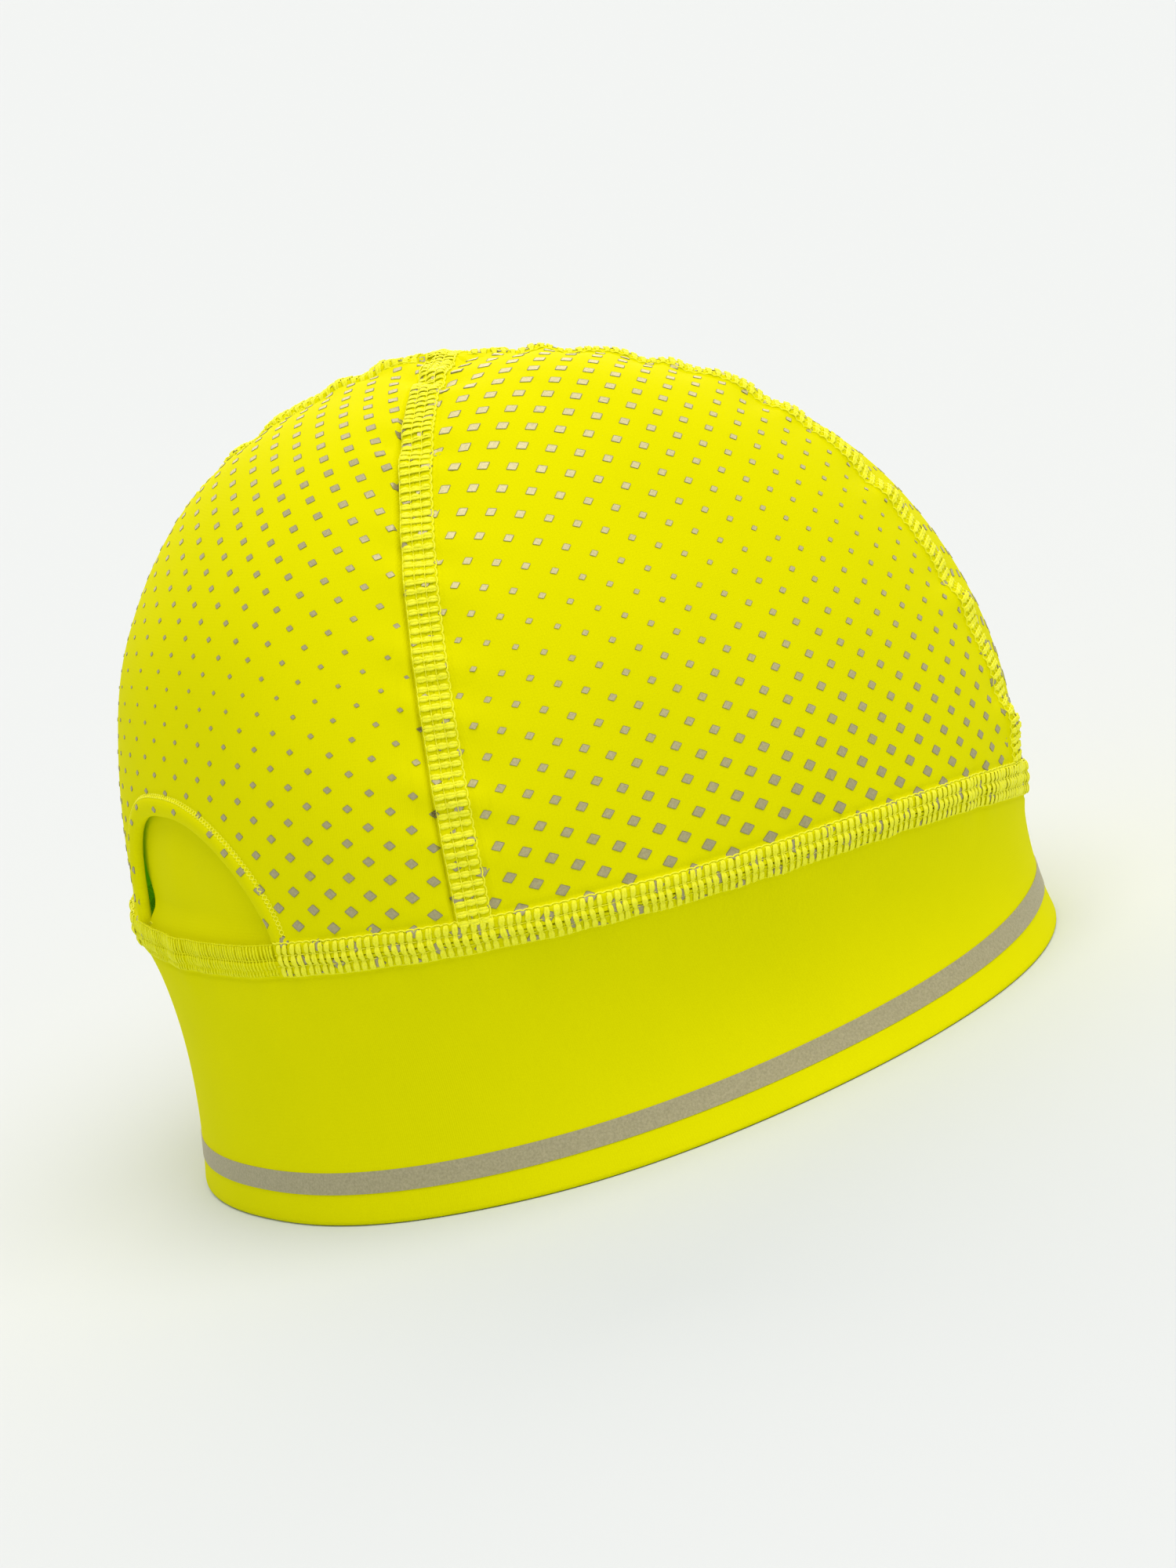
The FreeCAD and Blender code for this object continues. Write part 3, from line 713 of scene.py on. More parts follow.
def gore_places(first, last, arch=False):
    """Angles and climbs of a panel's grid, dense beside its seams."""
    ends = np.linspace(0, 1, MIDDLE)
    starts, low = ends, np.zeros(MIDDLE)
    if arch:
        angle, climb = at_yz(*arch_outline(np.linspace(math.pi, 0, MIDDLE - 2 * FOOT)))
        inset = EDGE_STEPS[-1] / reach(np.array([first, last]), np.zeros(2))
        at = (angle % TURN - (first + inset[0])) / (last - inset[1] - (first + inset[0]))
        starts = np.concatenate([np.linspace(0, at[0], FOOT + 1)[:-1], at,
                                 np.linspace(at[-1], 1, FOOT + 1)[1:]])
        low = np.pad(np.maximum(climb, 0), FOOT)
    starts, ends = (np.pad(each, EDGE_COUNT, constant_values=(0, 1)) for each in (starts, ends))
    low = np.pad(low, EDGE_COUNT)
    rough = first + (last - first) * (0.08 + 0.84 * (starts + ends) / 2)
    rough[:EDGE_COUNT], rough[-EDGE_COUNT:] = first, last
    # Climbs: fixed steps over the lower edge, then even ones, by the length of each column.
    rest = np.linspace(0, 1, RISING - EDGE_COUNT)[1:]
    rows = []
    for turn, start in zip(rough, low):
        line = np.linspace(0, 1, 400) ** 1.25 * (0.9992 - start) + start
        arc = arc_lengths(dome(np.full_like(line, turn), line))
        at = np.concatenate([EDGE_STEPS, EDGE_STEPS[-1] + (arc[-1] - EDGE_STEPS[-1]) * rest])
        rows.append(np.interp(at, arc, line))
    climb = np.array(rows)
    # Angles: fixed steps from either seam, and even ones between.
    fan = 1 - (1 - np.linspace(0, 1, RISING)) ** 2.2
    share = starts[:, None] + (ends - starts)[:, None] * fan
    steps = np.pad(EDGE_STEPS, (0, MIDDLE + EDGE_COUNT - 1), "edge")[:, None]
    left, right = (reach(np.full_like(climb, edge), climb) for edge in (first, last))
    squeeze = lambda size: np.minimum(1, 0.40 * (last - first) * size / EDGE_STEPS[-1])
    low_side = first + steps * squeeze(left) / left
    high_side = last - steps[::-1] * squeeze(right) / right
    angle = low_side * (1 - share) + high_side * share
    angle[:EDGE_COUNT], angle[-EDGE_COUNT:] = low_side[:EDGE_COUNT], high_side[-EDGE_COUNT:]
    return np.clip(angle, first + EDGE_GAP / np.maximum(left, 0.5),
                   last - EDGE_GAP / np.maximum(right, 0.5)), climb


def cut_uv(angle, climb, middle):
    """Flat coordinates in mm: across from the panel's middle line, and up from its lower edge."""
    over = from_seam(dome(angle, climb), angle)
    return np.stack([(angle - middle) * reach(angle, climb), over], -1).reshape(-1, 2)


def panel(name, first, last, arch=False):
    """One gore's cloth, thicker where its edge is sewn in, and folded round at the opening."""
    angle, climb = gore_places(first, last, arch)
    outer, n = dressed(angle, climb)
    wall = dome(angle, climb)
    over = from_seam(wall, angle)
    depth = FABRIC + 1.0 * (1 - smooth(over, 0.4, 3.8))
    bulge = None
    if arch:
        edge = arch_distance(wall)
        hem_depth = FABRIC + 0.85 * (1 - smooth(edge, ARCH_HEM - 0.1, ARCH_HEM + 0.5))
        depth = np.maximum(depth, hem_depth)
        loop = boundary(*angle.shape)
        point, out = outer.reshape(-1, 3)[loop], n.reshape(-1, 3)[loop]
        y, z, _ = arch_slope(*from_arch(point))
        inward = unit(xyz(0 * y, -y, -z))
        inward = unit(inward - out * (inward * out).sum(-1, keepdims=True))
        on_arch = (np.abs(edge.reshape(-1)[loop]) < 0.3) & (over.reshape(-1)[loop] > 0.5)
        bulge = inward * (on_arch * 0.75)[:, None]
    inner, _ = dressed(angle, climb, -depth, ridges=False)
    points, faces = shell(outer, inner, rim=bulge, rim_steps=5)
    cells = (angle.shape[0] - 1) * (angle.shape[1] - 1)
    indices = np.zeros(len(faces))
    # The inner face takes the inside knit, with its painted glow.
    indices[cells:2 * cells] = 1
    uv = edge_uv(cut_uv(angle, climb, (first + last) / 2), *angle.shape, len(points))
    return make_mesh(f"{name}_cloth", points, faces, KNIT, "knit", name, uv=uv, indices=indices,
                     others=(KNIT_INSIDE,))


FRONT = panel("front_panel", -FRONT_SEAM, FRONT_SEAM)
LEFT = panel("left_side_panel", FRONT_SEAM, REAR_SEAM)
RIGHT = panel("right_side_panel", -REAR_SEAM, -FRONT_SEAM)
BACK = panel("back_panel", REAR_SEAM, TURN - REAR_SEAM, arch=True)


# ---- printed squares

DOT_LINE = np.array([-1, -0.87, -0.3, 0.3, 0.87, 1])
DOT_CELLS = len(DOT_LINE) - 1
DOT_LIFT = 0.12
DOT_LEVEL = 106.0  # the squares are smallest at this height
DOT_SPAN = 5.75  # side of a square that is 1 pitch across
PRINT_REACH, PRINT_TOP = 112, 0.978  # from the grid's middle, and the climb where it ends
PRINT_LAP = 3.0  # how far it goes on under the band seam's threads


def walk(centre, lean, x, y, steps=14):
    """Angle and climb of flat coordinates laid on the dome from a panel's centre."""
    angle, climb = np.full_like(x, centre[0]), np.full_like(x, centre[1])
    n = normal(dome, angle, climb)
    e1 = unit(np.cross([0.0, 0.0, 1.0], n))
    e2 = np.cross(n, e1)
    ex = e1 * math.cos(lean) - e2 * math.sin(lean)
    ey = e1 * math.sin(lean) + e2 * math.cos(lean)
    length = np.hypot(x, y)
    way = (ex * x[..., None] + ey * y[..., None]) / np.maximum(length, 1e-9)[..., None]
    for _ in range(steps):
        angle, climb = place_of(dome(angle, climb) + way * (length / steps)[..., None])
        climb = np.clip(climb, -0.05, 0.995)
        n = normal(dome, angle, climb)
        way = unit(way - n * (way * n).sum(-1, keepdims=True))
    return angle, climb


def dot_places(centre, lean, skew, pitch, start, smallest, growth, fall=0.0, axis=0, edge=99):
    """Grids of angle and climb for each printed square of a panel, (squares, points, points).

    growth is how fast the squares grow below and above their smallest. Past edge, along axis, they
    shrink a little and are smallest lower down, by fall.
    """
    i, j = np.meshgrid(np.arange(-13, 14), np.arange(-26, 27), indexing="ij")
    x = start[0] + (i + 0.5 * (j % 2)).ravel() * pitch[0]
    y = start[1] + 0.5 * j.ravel() * pitch[1] + skew * x
    keep = np.hypot(x, y) < PRINT_REACH
    x, y = x[keep], y[keep]
    point = dome(*walk(centre, lean, x, y))
    past = np.maximum(point[..., axis] - edge, 0)
    z = point[..., 2] + fall * past - DOT_LEVEL
    side = (smallest + np.where(z < 0, *growth) * np.abs(z)) * np.maximum(1 - 0.004 * past, 0.7)
    a, b = np.meshgrid(DOT_LINE, DOT_LINE, indexing="ij")
    pull = 1 - 0.05 * (a * b) ** 6  # rounds the corners
    half = side[:, None, None] / DOT_SPAN / 2
    dx = (a - b) / 2 * pull * half * pitch[0]
    dy = (a + b) / 2 * pull * half * pitch[1]
    return walk(centre, lean, x[:, None, None] + dx, y[:, None, None] + dy + skew * dx)


def square_mesh(top, base, out, cells, border):
    """Points, faces and marks of one square's film, without the cells that lie outside. The marks
    pick the faces that take the darker film of painted shade: the outer ring of cells on both
    faces, and the side walls.
    """
    corners = top[cells]
    across, along = corners[:, 2] - corners[:, 0], corners[:, 3] - corners[:, 1]
    size = np.linalg.norm(np.cross(across, along), axis=1) / 2
    kept = (~out[cells].all(1)) & (size > 0.006)
    faces = cells[kept]
    if len(faces) < 2:
        return None
    edges = np.concatenate([faces[:, [k, (k + 1) % 4]] for k in range(4)])
    known = {(a, b) for a, b in edges}
    rim = np.array([(a, b) for a, b in edges if (b, a) not in known])
    walls = np.stack([rim[:, 1], rim[:, 0], rim[:, 0] + len(top), rim[:, 1] + len(top)], -1)
    marks = np.concatenate([border[kept], border[kept], np.ones(len(walls))])
    faces = np.concatenate([faces, faces[:, ::-1] + len(top), walls])
    return np.concatenate([top, base]), faces, marks


def dots(name, places, first, last, material=SIDE_PRINT, arch=False):
    """Film squares that lie on the cloth, cut off at the panel's edges."""
    angle, climb = places
    middle = (first + last) / 2
    angle = middle + wrap(angle - middle)
    gap = 0.25 / np.maximum(reach(angle, climb), 1)
    low, high = first + gap, last - gap
    outside = (angle < low) | (angle > high)
    angle = np.clip(angle, low, high)
    point = dome(angle, climb)
    over = np.sign(climb) * from_seam(point, angle)
    outside |= (over < -PRINT_LAP) | (climb > PRINT_TOP)
    over = np.maximum(over, -PRINT_LAP)
    if arch:
        inside = arch_distance(point) < 0.05
        y, z = from_arch(point)
        grow = 1.003 / np.maximum(arch_share(y, z), 0.3)
        turned, raised = at_yz(y * grow, z * grow)
        angle = np.where(inside, middle + wrap(turned - middle), angle)
        climb = np.where(inside, raised, climb)
        outside |= inside
    keep = (~outside).reshape(len(angle), -1).sum(1) >= 3
    angle, climb, over, outside = angle[keep], climb[keep], over[keep], outside[keep]
    top, normals = dressed(angle, np.maximum(climb, 0), DOT_LIFT)
    lap, lap_normals = dressed_band(angle, share_at(angle, np.maximum(-over, 0)), DOT_LIFT)
    lapped = (over < 0)[..., None]
    top, normals = np.where(lapped, lap, top), np.where(lapped, lap_normals, normals)
    base = top - normals * (DOT_LIFT + 0.12)
    cells = grid_faces(DOT_CELLS + 1, DOT_CELLS + 1)
    row, column = np.divmod(cells[:, 0], DOT_CELLS + 1)
    # Painted shade: the outer ring of cells on each square, with its side walls, takes the darker
    # edge film.
    border = (row % (DOT_CELLS - 1) == 0) | (column % (DOT_CELLS - 1) == 0)
    squares = [square_mesh(up, down, out, cells, border)
               for up, down, out in zip(top.reshape(len(top), -1, 3), base.reshape(len(top), -1, 3),
                                        outside.reshape(len(top), -1))]
    squares = [square for square in squares if square]
    points, faces = joined([square[:2] for square in squares])
    used = np.unique(faces)
    renumber = np.zeros(len(points), int)
    renumber[used] = np.arange(len(used))
    marks = np.concatenate([square[2] for square in squares])
    make_mesh(name, points[used], renumber[faces], material, "reflective_film", crease=40,
              indices=marks, others=(FILM_EDGE_SHADE,))


# Each panel's print: its grid's centre, lean, skew, pitches and start, and its squares' sizes.
RIGHT_DOTS = dot_places((-1.573, 0.507), 0.045, 0.005, (9.45, 6.81), (-13.4, -17.0),
                        1.04, (0.0248, 0.031), fall=0.17, edge=20)
BACK_DOTS = dot_places((-3.000, 0.259), 0.081, 0.04, (8.87, 6.99), (17.9, 16.9),
                       0.77, (0.0310, 0.036), axis=1, edge=-30)
FRONT_DOTS = dot_places((0.0, 0.40), 0.0, 0.0, (9.1, 6.85), (0.0, 1.7), 1.03, (0.025, 0.031))
LEFT_DOTS = (-RIGHT_DOTS[0][:, ::-1], RIGHT_DOTS[1][:, ::-1])
dots("right_side_panel_prints", RIGHT_DOTS, -REAR_SEAM, -FRONT_SEAM)
dots("left_side_panel_prints", LEFT_DOTS, FRONT_SEAM, REAR_SEAM)
dots("back_panel_prints", BACK_DOTS, REAR_SEAM, TURN - REAR_SEAM, PRINT, arch=True)
dots("front_panel_prints", FRONT_DOTS, -FRONT_SEAM, FRONT_SEAM)


# ---- headband and stripe

BAND_COLUMNS, JOIN_GAP = 380, 0.03
BAND_RADIUS, UV_RADIUS = 77, 84.0  # the band's, at the sides and all round on average


def band_columns():
    """Angles round the band from one side of the join to the other."""
    gap = JOIN_GAP / BAND_RADIUS
    return JOIN + np.linspace(gap, TURN - gap, BAND_COLUMNS)


def headband():
    """One strip of knit folded double, whose ends meet at the join on the left."""
    angle = band_columns()
    below = np.arange(0.12, 5.2, 0.45)  # fine rows under the band seam
    fold = (FABRIC + LAYER_GAP) / 2
    low = share_over_hem(angle, 0 * angle + 0.9)
    fine = share_at(*np.broadcast_arrays(angle[:, None], below[None]))
    rest = np.linspace(0, 1, 32)[1:]
    shares = np.concatenate([fine, fine[:, -1:] + (low[:, None] - fine[:, -1:]) * rest], 1)
    grid = np.broadcast_to(angle[:, None], shares.shape)
    face, n = dressed_band(grid, shares)
    centre, outward = face[:, -1] - n[:, -1] * (FABRIC + LAYER_GAP / 2), n[:, -1]
    down = unit(face[:, -1] - face[:, -2])
    ways = [outward * math.cos(a) + down * math.sin(a) for a in np.linspace(0, math.pi, 11)[1:-1]]
    outer_fold = np.stack([centre + way * (fold + FABRIC / 2) for way in ways], 1)
    inner_fold = np.stack([centre + way * (fold - FABRIC / 2) for way in ways], 1)
    total = 2 * FABRIC + LAYER_GAP
    ridge = RIDGE * (1 - smooth(from_seam(band(grid, shares), grid), 3, 3.6))
    plain = face - n * ridge[..., None]
    outer = np.concatenate([face, outer_fold, (plain - n * total)[:, ::-1]], 1)
    lining = (plain - n * (total - FABRIC))[:, ::-1]
    inner = np.concatenate([plain - n * FABRIC, inner_fold, lining], 1)
    outer[..., 2] += np.maximum(0.02 - outer[..., 2], 0)
    # Columns run down, so the grid is turned for its faces to look outwards.
    outer, inner = outer[:, ::-1], inner[:, ::-1]
    points, faces = shell(outer, inner)
    across = (np.unwrap(angle) * UV_RADIUS)[:, None]
    along = arc_lengths(outer.mean(0))
    uv = np.stack(np.broadcast_arrays(across, along[None]), -1).reshape(-1, 2)
    return make_mesh("headband_cloth", points, faces, KNIT, "knit", "headband",
                     uv=np.concatenate([uv, uv]))


BAND = headband()


def stripe():
    """The even ring of film over the hem."""
    over = STRIPE_LOW + STRIPE_WIDTH * np.linspace(0, 1, 9)
    grid, over = np.broadcast_arrays(band_columns()[:, None], over[None])
    top, n = dressed_band(grid, share_over_hem(grid, over), STRIPE_LIFT)
    points, faces = shell(top, top - n * STRIPE_DEPTH)
    make_mesh("reflective_stripe_film", points, faces, FILM, "reflective_film", "reflective_stripe")


stripe()


# ---- seams

STRIP_STEP, STRIP_HALF, STRIP_COLUMNS = 0.4, 5.2, 27
ACROSS = np.linspace(-STRIP_HALF, STRIP_HALF, STRIP_COLUMNS)
GORE_PITCH, RING_PITCH, FLAT_PITCH, JOIN_PITCH, OPENING_PITCH = 1.94, 1.80, 0.92, 1.5, 1.7
SEAM_FOOT = 2.6  # gore threads start this far over the band seam
CROWN_GAP, SHORT_SEAM_GAP = 0.25, 3.9  # between the crown and the lines of long and short seams
SEAM_END = 0.3  # from a ring's or the join's ends to its threads
LOOP_DEPTH = 0.35  # loop threads behind a gore seam's inner face
RNG = np.random.default_rng(11)


class Strip:
    """The cloth along a seam, by millimetres along it and across it, and the threads on it."""

    def __init__(self, points, normals, pitch, first=SEAM_END, end=SEAM_END, half=STRIP_HALF):
        self.points, self.normals, self.pitch, self.half = points, normals, pitch, half
        self.first, self.last = first, STRIP_STEP * (len(points) - 1) - end

    def at(self, s, c, h):
        """Points and normals, h over the cloth."""
        rows, columns = self.points.shape[:2]
        i = np.clip(s / STRIP_STEP, 0, rows - 1.001)
        j = np.clip((c + self.half) / (2 * self.half) * (columns - 1), 0, columns - 1.001)
        i0, j0 = i.astype(int), j.astype(int)
        fi, fj = (i - i0)[..., None], (j - j0)[..., None]
        mix = lambda g: ((g[i0, j0] * (1 - fi) + g[i0 + 1, j0] * fi) * (1 - fj)
                         + (g[i0, j0 + 1] * (1 - fi) + g[i0 + 1, j0 + 1] * fi) * fj)
        n = unit(mix(self.normals))
        return mix(self.points) + n * h[..., None], n

    def rungs(self, points=22, spread=0.28, width=0.42, tall=0.19, base=0.09, slant=0.0,
              zigzag=0.0, depth=None, strands=2, keep=None, needles=NEEDLES):
        """Threads that cross the seam between its needle lines, two strands each.

        depth says how far behind the cloth they lie, if they lie behind it, and keep which to keep.
        """
        s0 = np.arange(self.first, self.last, self.pitch)
        s0 = s0 + RNG.normal(0, 0.05 * self.pitch, len(s0))
        if keep is not None:
            s0 = s0[keep(s0)]
        x = np.linspace(-1, 1, points)
        c = needles[-1] * 1.015 * x
        cell = np.interp(c, needles, np.arange(len(needles)))
        puff = np.abs(np.sin(math.pi * cell)) ** 0.6
        flip = 1 - 2 * (np.floor(np.clip(cell, 0, len(needles) - 1.001)) % 2)
        gaps = np.clip(np.floor(cell), 0, len(needles) - 2).astype(int)
        parts = []
        for strand in range(strands):
            sign = (-1 if strand else 1) if strands == 2 else 0
            jitter = RNG.normal(0, 0.035, (len(s0), 1)) + RNG.normal(0, 0.025, (len(s0), points))
            s = (s0[:, None] + slant * c[None] + sign * spread * (0.35 + 0.65 * puff)[None]
                 + zigzag * (flip * (cell % 1 - 0.5))[None] + jitter)
            bump = RNG.uniform(0.65, 1.15, (len(s0), len(needles) - 1))[:, gaps] * puff[None]
            h = base + tall * 0.9 * bump - 0.5 * (np.abs(x) > 0.985)[None]
            h = h + RNG.normal(0, 0.015, s.shape)
            if depth is not None:
                h = -depth(s, c[None] + 0 * s) - h
            paths, n = self.at(s, c[None] + RNG.normal(0, 0.03, s.shape), h)
            fat = (0.50 + 0.48 * bump) * RNG.uniform(0.88, 1.12, (len(s0), 1))
            parts.append(tubes(paths, n if depth is None else -n, width * fat, tall * fat))
        return joined(parts)

    def running(self, c, swing, radius, base, dip, depth=None, keep=None, ends=None):
        """One thread along the seam, which swings out and dips between the rungs."""
        first, last = (self.first, self.last) if ends is None else ends
        pitch = self.pitch
        s = np.arange(first, last, pitch / 8)
        if keep is not None:
            s = s[keep(s)]
            cut = np.flatnonzero(np.diff(s) > pitch)
            if len(cut):
                return joined([self.running(c, swing, radius, base, dip, depth, ends=part[[0, -1]])
                               for part in np.split(s, cut + 1)])
        s = s[None]
        turn = TURN * (s - first) / pitch
        at = c + swing * np.cos(turn)
        h = base + dip * np.cos(turn)
        if depth is not None:
            h = -depth(s, at) - h
        paths, n = self.at(s + 0.12 * pitch * np.sin(turn), at, h)
        return tubes(paths, n if depth is None else -n, radius, radius)


def evened(vectors, rounds):
    """Unit vectors along a line, smoothed along it."""
    for _ in range(rounds):
        vectors[1:-1] = unit(vectors[:-2] + vectors[1:-1] * 2 + vectors[2:])
    return vectors


def gore_strip(seams, stop, end):
    """Strip along one gore seam, or along two, over the crown.

    Each seam's line stops by stop before the crown, and the threads by end before the strip's end.
    """
    angles, climbs = [], []
    for number, seam in enumerate(seams):
        line, arc = seam_line(seam, 1200)
        climb = np.interp(np.arange(0.5, arc[-1] - stop, STRIP_STEP), arc, line)
        angles.append(np.full_like(climb, seam))
        climbs.append(climb[::-1] if number else climb)
    path = dome(np.concatenate(angles), np.concatenate(climbs))
    arc = arc_lengths(path)
    s = np.arange(0, arc[-1], STRIP_STEP)
    path = np.stack([np.interp(s, arc, path[:, k]) for k in range(3)], -1)
    angle, climb = place_of(path)
    n = evened(normal(dome, angle, np.clip(climb, 0, 0.997)), 6)
    tangent = evened(unit(np.gradient(path, axis=0)), 500 if len(seams) > 1 else 20)
    across = unit(np.cross(tangent, n))
    angle, climb = place_of(path[:, None] + across[:, None] * ACROSS[None, :, None])
    points, _ = dressed(angle, np.clip(climb, 0, 0.9985))
    return Strip(points, np.broadcast_to(n[:, None], points.shape), GORE_PITCH, SEAM_FOOT, end)


ROUND = np.linspace(0, TURN, 1441)
ROUND_ARC = arc_lengths(dome(JOIN + ROUND, 0 * ROUND))


def round_angle(s):
    """Angle at a length along the band seam from the join."""
    return JOIN + np.interp(s, ROUND_ARC, ROUND)


def ring_strip():
    """Strip all round the band seam: the dome over its middle, the headband under it."""
    angle = round_angle(np.arange(0, SEAM_ROUND, STRIP_STEP))
    grid, d = np.broadcast_arrays(angle[:, None], np.abs(ACROSS)[None])
    up, _ = dressed(grid, climb_at(grid, d))
    down, _ = dressed_band(grid, share_at(grid, d))
    points = np.where((ACROSS >= 0)[None, :, None], up, down)
    blend = smooth(ACROSS, -2.2, 2.2)[None, :, None]
    n_over = normal(dome, angle, 0 * angle + 0.02)[:, None]
    n_under = normal(band, angle, 0 * angle + 0.97)[:, None]
    pitch = SEAM_ROUND / round(SEAM_ROUND / RING_PITCH)
    return Strip(points, unit(n_over * blend + n_under * (1 - blend)) + 0 * points, pitch)


def loop_threads(strip, depth, points):
    """The looser threads on the cloth's inner face: rungs, and one along each needle line."""
    parts = [strip.rungs(points=points, depth=depth, spread=0.2, width=0.33, tall=0.17)]
    return parts + [strip.running(c, 0.08, 0.14, 0.05, 0.08, depth) for c in NEEDLES]


def stitches(name, parts, stands_for=None, thread=THREAD):
    """One piece from a seam's threads."""
    make_mesh(name, *joined(parts), thread, "seam_thread", stands_for, crease=0)


def gore_seam(name, strip):
    """Cover threads over a gore seam and loop threads under it."""
    parts = [strip.rungs(), strip.running(3.27, 0.16, 0.17, 0.14, 0.10),
             strip.running(-3.27, 0.06, 0.13, 0.06, 0.08)]
    parts += [strip.running(c, 0.03, 0.12, 0.16, 0.20) for c in NEEDLES[1:3]]
    stitches(f"{name}_cover_stitches", parts, f"{name}_cover_thread")
    depth = lambda s, c: FABRIC + LOOP_DEPTH + 0 * s
    stitches(f"{name}_loop_stitches", loop_threads(strip, depth, 16), f"{name}_loop_thread")


# The rear right and front left seams are sewn in one go, over the crown.
gore_seam("crown_seam", gore_strip((-REAR_SEAM, FRONT_SEAM), CROWN_GAP, SEAM_FOOT))
gore_seam("rear_left_seam", gore_strip((REAR_SEAM,), SHORT_SEAM_GAP, 0))
gore_seam("front_right_seam", gore_strip((-FRONT_SEAM,), SHORT_SEAM_GAP, 0))


def flap_depth(over):
    """Depth of the flap's outer face behind the wall: sewn in with the band seam, free above."""
    return 0.95 + 2.05 * smooth(over, 1.0, 9.0)


def band_seam():
    """Threads round the band seam: broad and puffy, but flat and fine under the opening."""
    strip = ring_strip()
    fine = Strip(strip.points, strip.normals, FLAT_PITCH)
    flat = lambda s: under_arch(dome(round_angle(s), 0 * s))
    thick = lambda s: ~flat(s)

    def depth(s, c):
        angle = round_angle(s)
        y = dome(angle, 0 * angle)[..., 1]
        behind = (1 - smooth(np.abs(y), 24, 30)) * (np.cos(angle) < 0)
        plain = 2.35 - 1.15 * smooth(c, 0.5, 3.6)
        return np.maximum(plain, behind * (flap_depth(np.maximum(c, 0)) + FABRIC + 0.6)) + RIDGE

    cover = strip.rungs(points=20, slant=0.06, zigzag=0.25, keep=thick, needles=RING_NEEDLES)
    stitches("band_seam_cover_stitches", [cover], "band_seam_cover_thread")
    parts = [strip.running(3.62, 0.13, 0.16, 0.14, 0.08, keep=thick),
             strip.running(-3.62, 0.05, 0.12, 0.02, 0.08, keep=thick)]
    parts += [strip.running(c, 0.03, 0.10, 0.18, 0.17, keep=thick) for c in RING_NEEDLES[1:3]]
    stitches("band_seam_needle_stitches", parts)
    parts = [fine.rungs(points=26, spread=0.0, width=0.36, tall=0.17, base=-0.05, strands=1,
                        keep=flat, needles=FLAT_NEEDLES)]
    parts += [fine.running(c, 0.06, 0.10, -0.14, 0.26, keep=flat) for c in FLAT_NEEDLES]
    stitches("band_seam_flat_stitches", parts, thread=FINE_THREAD)
    stitches("band_seam_loop_stitches", loop_threads(strip, depth, 10), "band_seam_loop_thread")


band_seam()


def join_stitches():
    """Flat seam that closes the headband into a ring."""
    join = np.array([JOIN])
    low = float(share_over_hem(join, np.array([STRIPE_LOW + STRIPE_WIDTH + 0.3]))[0])
    high = float(share_at(join, np.array([3.6]))[0])
    share = low + (high - low) * np.linspace(1, 0, 130)
    arc = arc_lengths(band(np.full_like(share, JOIN), share))
    share = np.interp(np.arange(0, arc[-1], STRIP_STEP), arc, share)
    angle = JOIN + ACROSS[None] / BAND_RADIUS + 0 * share[:, None]
    points, n = dressed_band(angle, np.broadcast_to(share[:, None], angle.shape))
    strip = Strip(points[:, 3:-3], n[:, 3:-3], JOIN_PITCH, half=STRIP_HALF * 0.74)
    parts = [strip.rungs(points=16, spread=0.2, width=0.34, tall=0.17)]
    parts += [strip.running(c, 0.08, 0.13, 0.12, 0.10) for c in NEEDLES]
    stitches("headband_join_stitches", parts, "headband_join_thread")


join_stitches()


# ---- ponytail opening

def arch_point(turn, outside, lift):
    """Point of the cloth beside the opening, at a turn along its outline and a distance outside."""
    y, z = arch_outline(turn)
    dy, dz, size = arch_slope(y, z)
    angle, climb = at_yz(y + dy / size * outside, z + dz / size * outside)
    return dressed(angle % TURN, np.maximum(climb, 0), lift)


def opening_stitches():
    """Zigzag stitches along the outer edge of the turned hem."""
    turn = np.linspace(0.16, math.pi - 0.16, 4000)
    arc = arc_lengths(np.stack(arch_outline(turn), -1))
    s = np.arange(0, arc[-1], 0.16)
    parts = []
    for phase in (0.0, math.pi):
        wave = TURN * s / OPENING_PITCH + phase
        points, n = arch_point(np.interp(s, arc, turn), ARCH_HEM + 0.36 * np.cos(wave),
                               0.02 + 0.08 * np.abs(np.sin(wave)))
        parts.append(tubes(points[None], n[None], 0.11, 0.11))
    stitches("opening_hem_stitches", parts, "opening_hem_thread")


opening_stitches()


# The flap's free edge on the wearer's left: its heights over the band seam, and y there.
FLAP_EDGE = ([0, 3, 6.5, 10, 14, 20, 25, 32], [30.2, 29.0, 27.0, 28.0, 29.8, 30.6, 30.6, 30.6])
FLAP_RIGHT, FLAP_LEFT, FLAP_ROUND = -27.8, 30.0, 33.0
FLAP_COLUMNS, FLAP_ROWS = 70, 64


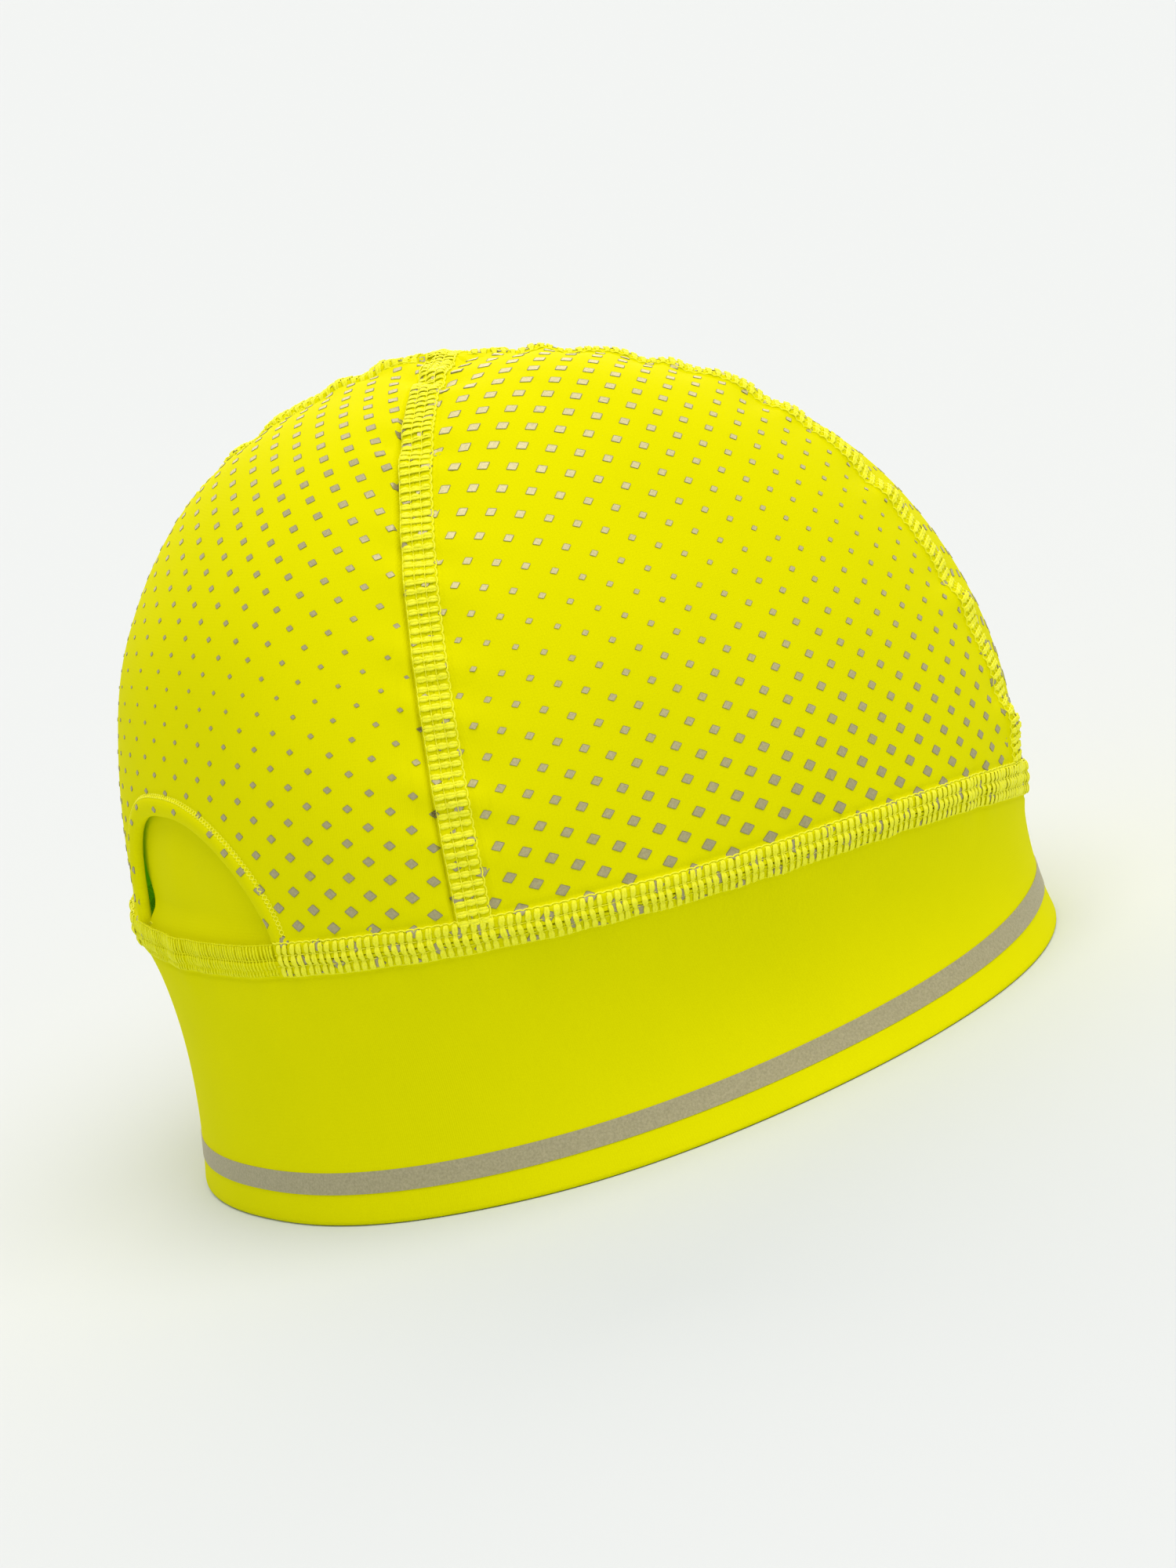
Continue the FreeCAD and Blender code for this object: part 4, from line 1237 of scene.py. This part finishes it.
def flap():
    """Cloth behind the opening: sewn in along its lower edge, top and right, free on the left."""
    u, v = np.linspace(0, 1, FLAP_COLUMNS), np.linspace(0, 1, FLAP_ROWS)
    rough = FLAP_RIGHT + (FLAP_LEFT - FLAP_RIGHT) * u
    top = (ARCH_HEIGHT + 3.6) * (1 - (rough / FLAP_ROUND) ** 4) ** 0.25
    z = top[:, None] * v[None]
    y = FLAP_RIGHT + (np.interp(z, *FLAP_EDGE) - FLAP_RIGHT) * u[:, None]
    angle, climb = at_yz(y - ARCH_CENTRE, z)
    angle, climb = angle % TURN, np.maximum(climb, 0)
    n = normal(dome, angle, climb)
    crumple = (0.5 * np.sin(y / 4.2 + z / 9.0) * smooth(z, 3, 12) * smooth(y, -5, 12)
               + 0.35 * np.sin(z / 5.1 + 0.6) * smooth(y, 2, 14) * smooth(z, 2, 8))
    outer = dome(angle, climb) - n * (flap_depth(z) + crumple * 0.5)[..., None]
    points, faces = shell(outer[::-1], (outer - n * FABRIC)[::-1], rim_steps=4)
    uv = edge_uv(np.stack([y, z], -1)[::-1].reshape(-1, 2), *y.shape, len(points))
    piece = make_mesh("ponytail_flap_cloth", points, faces, KNIT, "knit", "ponytail_flap",
                      body=None, uv=uv)
    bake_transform(piece)
    return piece


FLAP = flap()


# Where the label hangs, its half width, and its top and end below the band seam.
LABEL_ANGLE, LABEL_HALF, LABEL_TOP, LABEL_END = math.radians(152.0), 8, 0.3, 24.0


def label():
    """Blank satin label that hangs inside the headband from the band seam."""
    x, down = np.linspace(-LABEL_HALF, LABEL_HALF, 22), np.linspace(LABEL_END, LABEL_TOP, 34)
    angle = LABEL_ANGLE + x[:, None] / UV_RADIUS + 0 * down[None]
    points, n = dressed_band(angle, share_at(angle, np.broadcast_to(down[None], angle.shape)))
    wave = 0.25 * np.sin(x / 3.1)[:, None] * smooth(down, 6, 22)[None]
    depth = 3.45 + wave + 0.3 * smooth(down, 0, 4)[None]
    outer = points - n * depth[..., None]
    points, faces = shell(outer, outer - n * 0.25)
    return make_mesh("care_label_cloth", points, faces, SATIN, "label_satin", "care_label")


LABEL = label()


# ---- camera, light and floor

CAMERA_TURN, CAMERA_RISE, CAMERA_ROLL = (math.radians(angle) for angle in (30.791, 12.897, -15.954))
AIM, DISTANCE, LENS, LENS_SHIFT = Vector((0, 0, 0.090)), 1.6, 180, (0.0429, -0.0943)
FLOOR_HALF, FLOOR_LEVEL = 30.0, -0.0002


def direction(turn, rise):
    """The way out from the cap at a turn from the wearer's right and a rise over the floor."""
    level = math.cos(rise)
    return Vector((math.sin(turn) * level, -math.cos(turn) * level, math.sin(rise)))


def add_camera():
    turn, rise, roll = CAMERA_TURN, CAMERA_RISE, CAMERA_ROLL
    back = direction(-turn, rise)
    level = Vector((math.cos(turn), -math.sin(turn), 0))
    upright = back.cross(level)
    right = level * math.cos(roll) + upright * math.sin(roll)
    up = upright * math.cos(roll) - level * math.sin(roll)
    data = bpy.data.cameras.new("camera")
    data.lens, data.sensor_width = LENS, 36
    data.shift_x, data.shift_y = LENS_SHIFT
    data.clip_start, data.clip_end = 0.05, 100
    camera = add_object("camera", data)
    place = Matrix((right, up, back)).transposed().to_4x4()
    place.translation = AIM + back * DISTANCE
    camera.matrix_world = place
    bpy.context.scene.camera = camera


def add_sun(name, azimuth, elevation, strength, colour, softness):
    data = bpy.data.lights.new(name, "SUN")
    data.energy, data.color, data.angle = strength, colour, math.radians(softness)
    lamp = add_object(name, data)
    way = direction(math.radians(azimuth), math.radians(elevation))
    lamp.rotation_mode = "QUATERNION"
    lamp.rotation_quaternion = way.to_track_quat("Z", "Y")


def add_world():
    """Even light from all round, and a paler backdrop where it is seen directly, shiny or clear."""
    world = bpy.data.worlds.new("studio")
    bpy.context.scene.world = world
    world.use_nodes = True
    tree = world.node_tree
    tree.nodes.clear()
    light = node(tree, "ShaderNodeBackground", {"Color": (0.975, 1.0, 0.99, 1), "Strength": 0.50})
    seen = node(tree, "ShaderNodeBackground", {"Color": (0.880, 0.896, 0.888, 1), "Strength": 1.0})
    path = node(tree, "ShaderNodeLightPath")
    first, second = (node(tree, "ShaderNodeMath", operation="MAXIMUM") for _ in range(2))
    link(tree, path, "Is Camera Ray", first, 0)
    link(tree, path, "Is Glossy Ray", first, 1)
    link(tree, first, 0, second, 0)
    link(tree, path, "Is Transmission Ray", second, 1)
    mix = node(tree, "ShaderNodeMixShader")
    for entry, source in enumerate((second, light, seen)):
        link(tree, source, 0, mix, entry)
    link(tree, mix, 0, node(tree, "ShaderNodeOutputWorld"), "Surface")


def add_floor():
    material, _, shader = new_material("floor_paper", 0.9, 0.0)
    shader.inputs["Base Color"].default_value = (0.700, 0.757, 0.800, 1)
    corners = [(-1, -1), (1, -1), (1, 1), (-1, 1)]
    mesh = bpy.data.meshes.new("floor")
    mesh.from_pydata([(x * FLOOR_HALF, y * FLOOR_HALF, FLOOR_LEVEL) for x, y in corners], [],
                     [(0, 1, 2, 3)])
    mesh.materials.append(material)
    add_object("floor", mesh)


add_camera()
add_world()
add_sun("key", 8, 72, 2.08, (1.0, 0.90, 0.82), 60)
add_sun("rim", 150, 20, 1.50, (1.0, 0.84, 0.66), 60)
add_floor()
bpy.context.scene.view_settings.view_transform = "Standard"
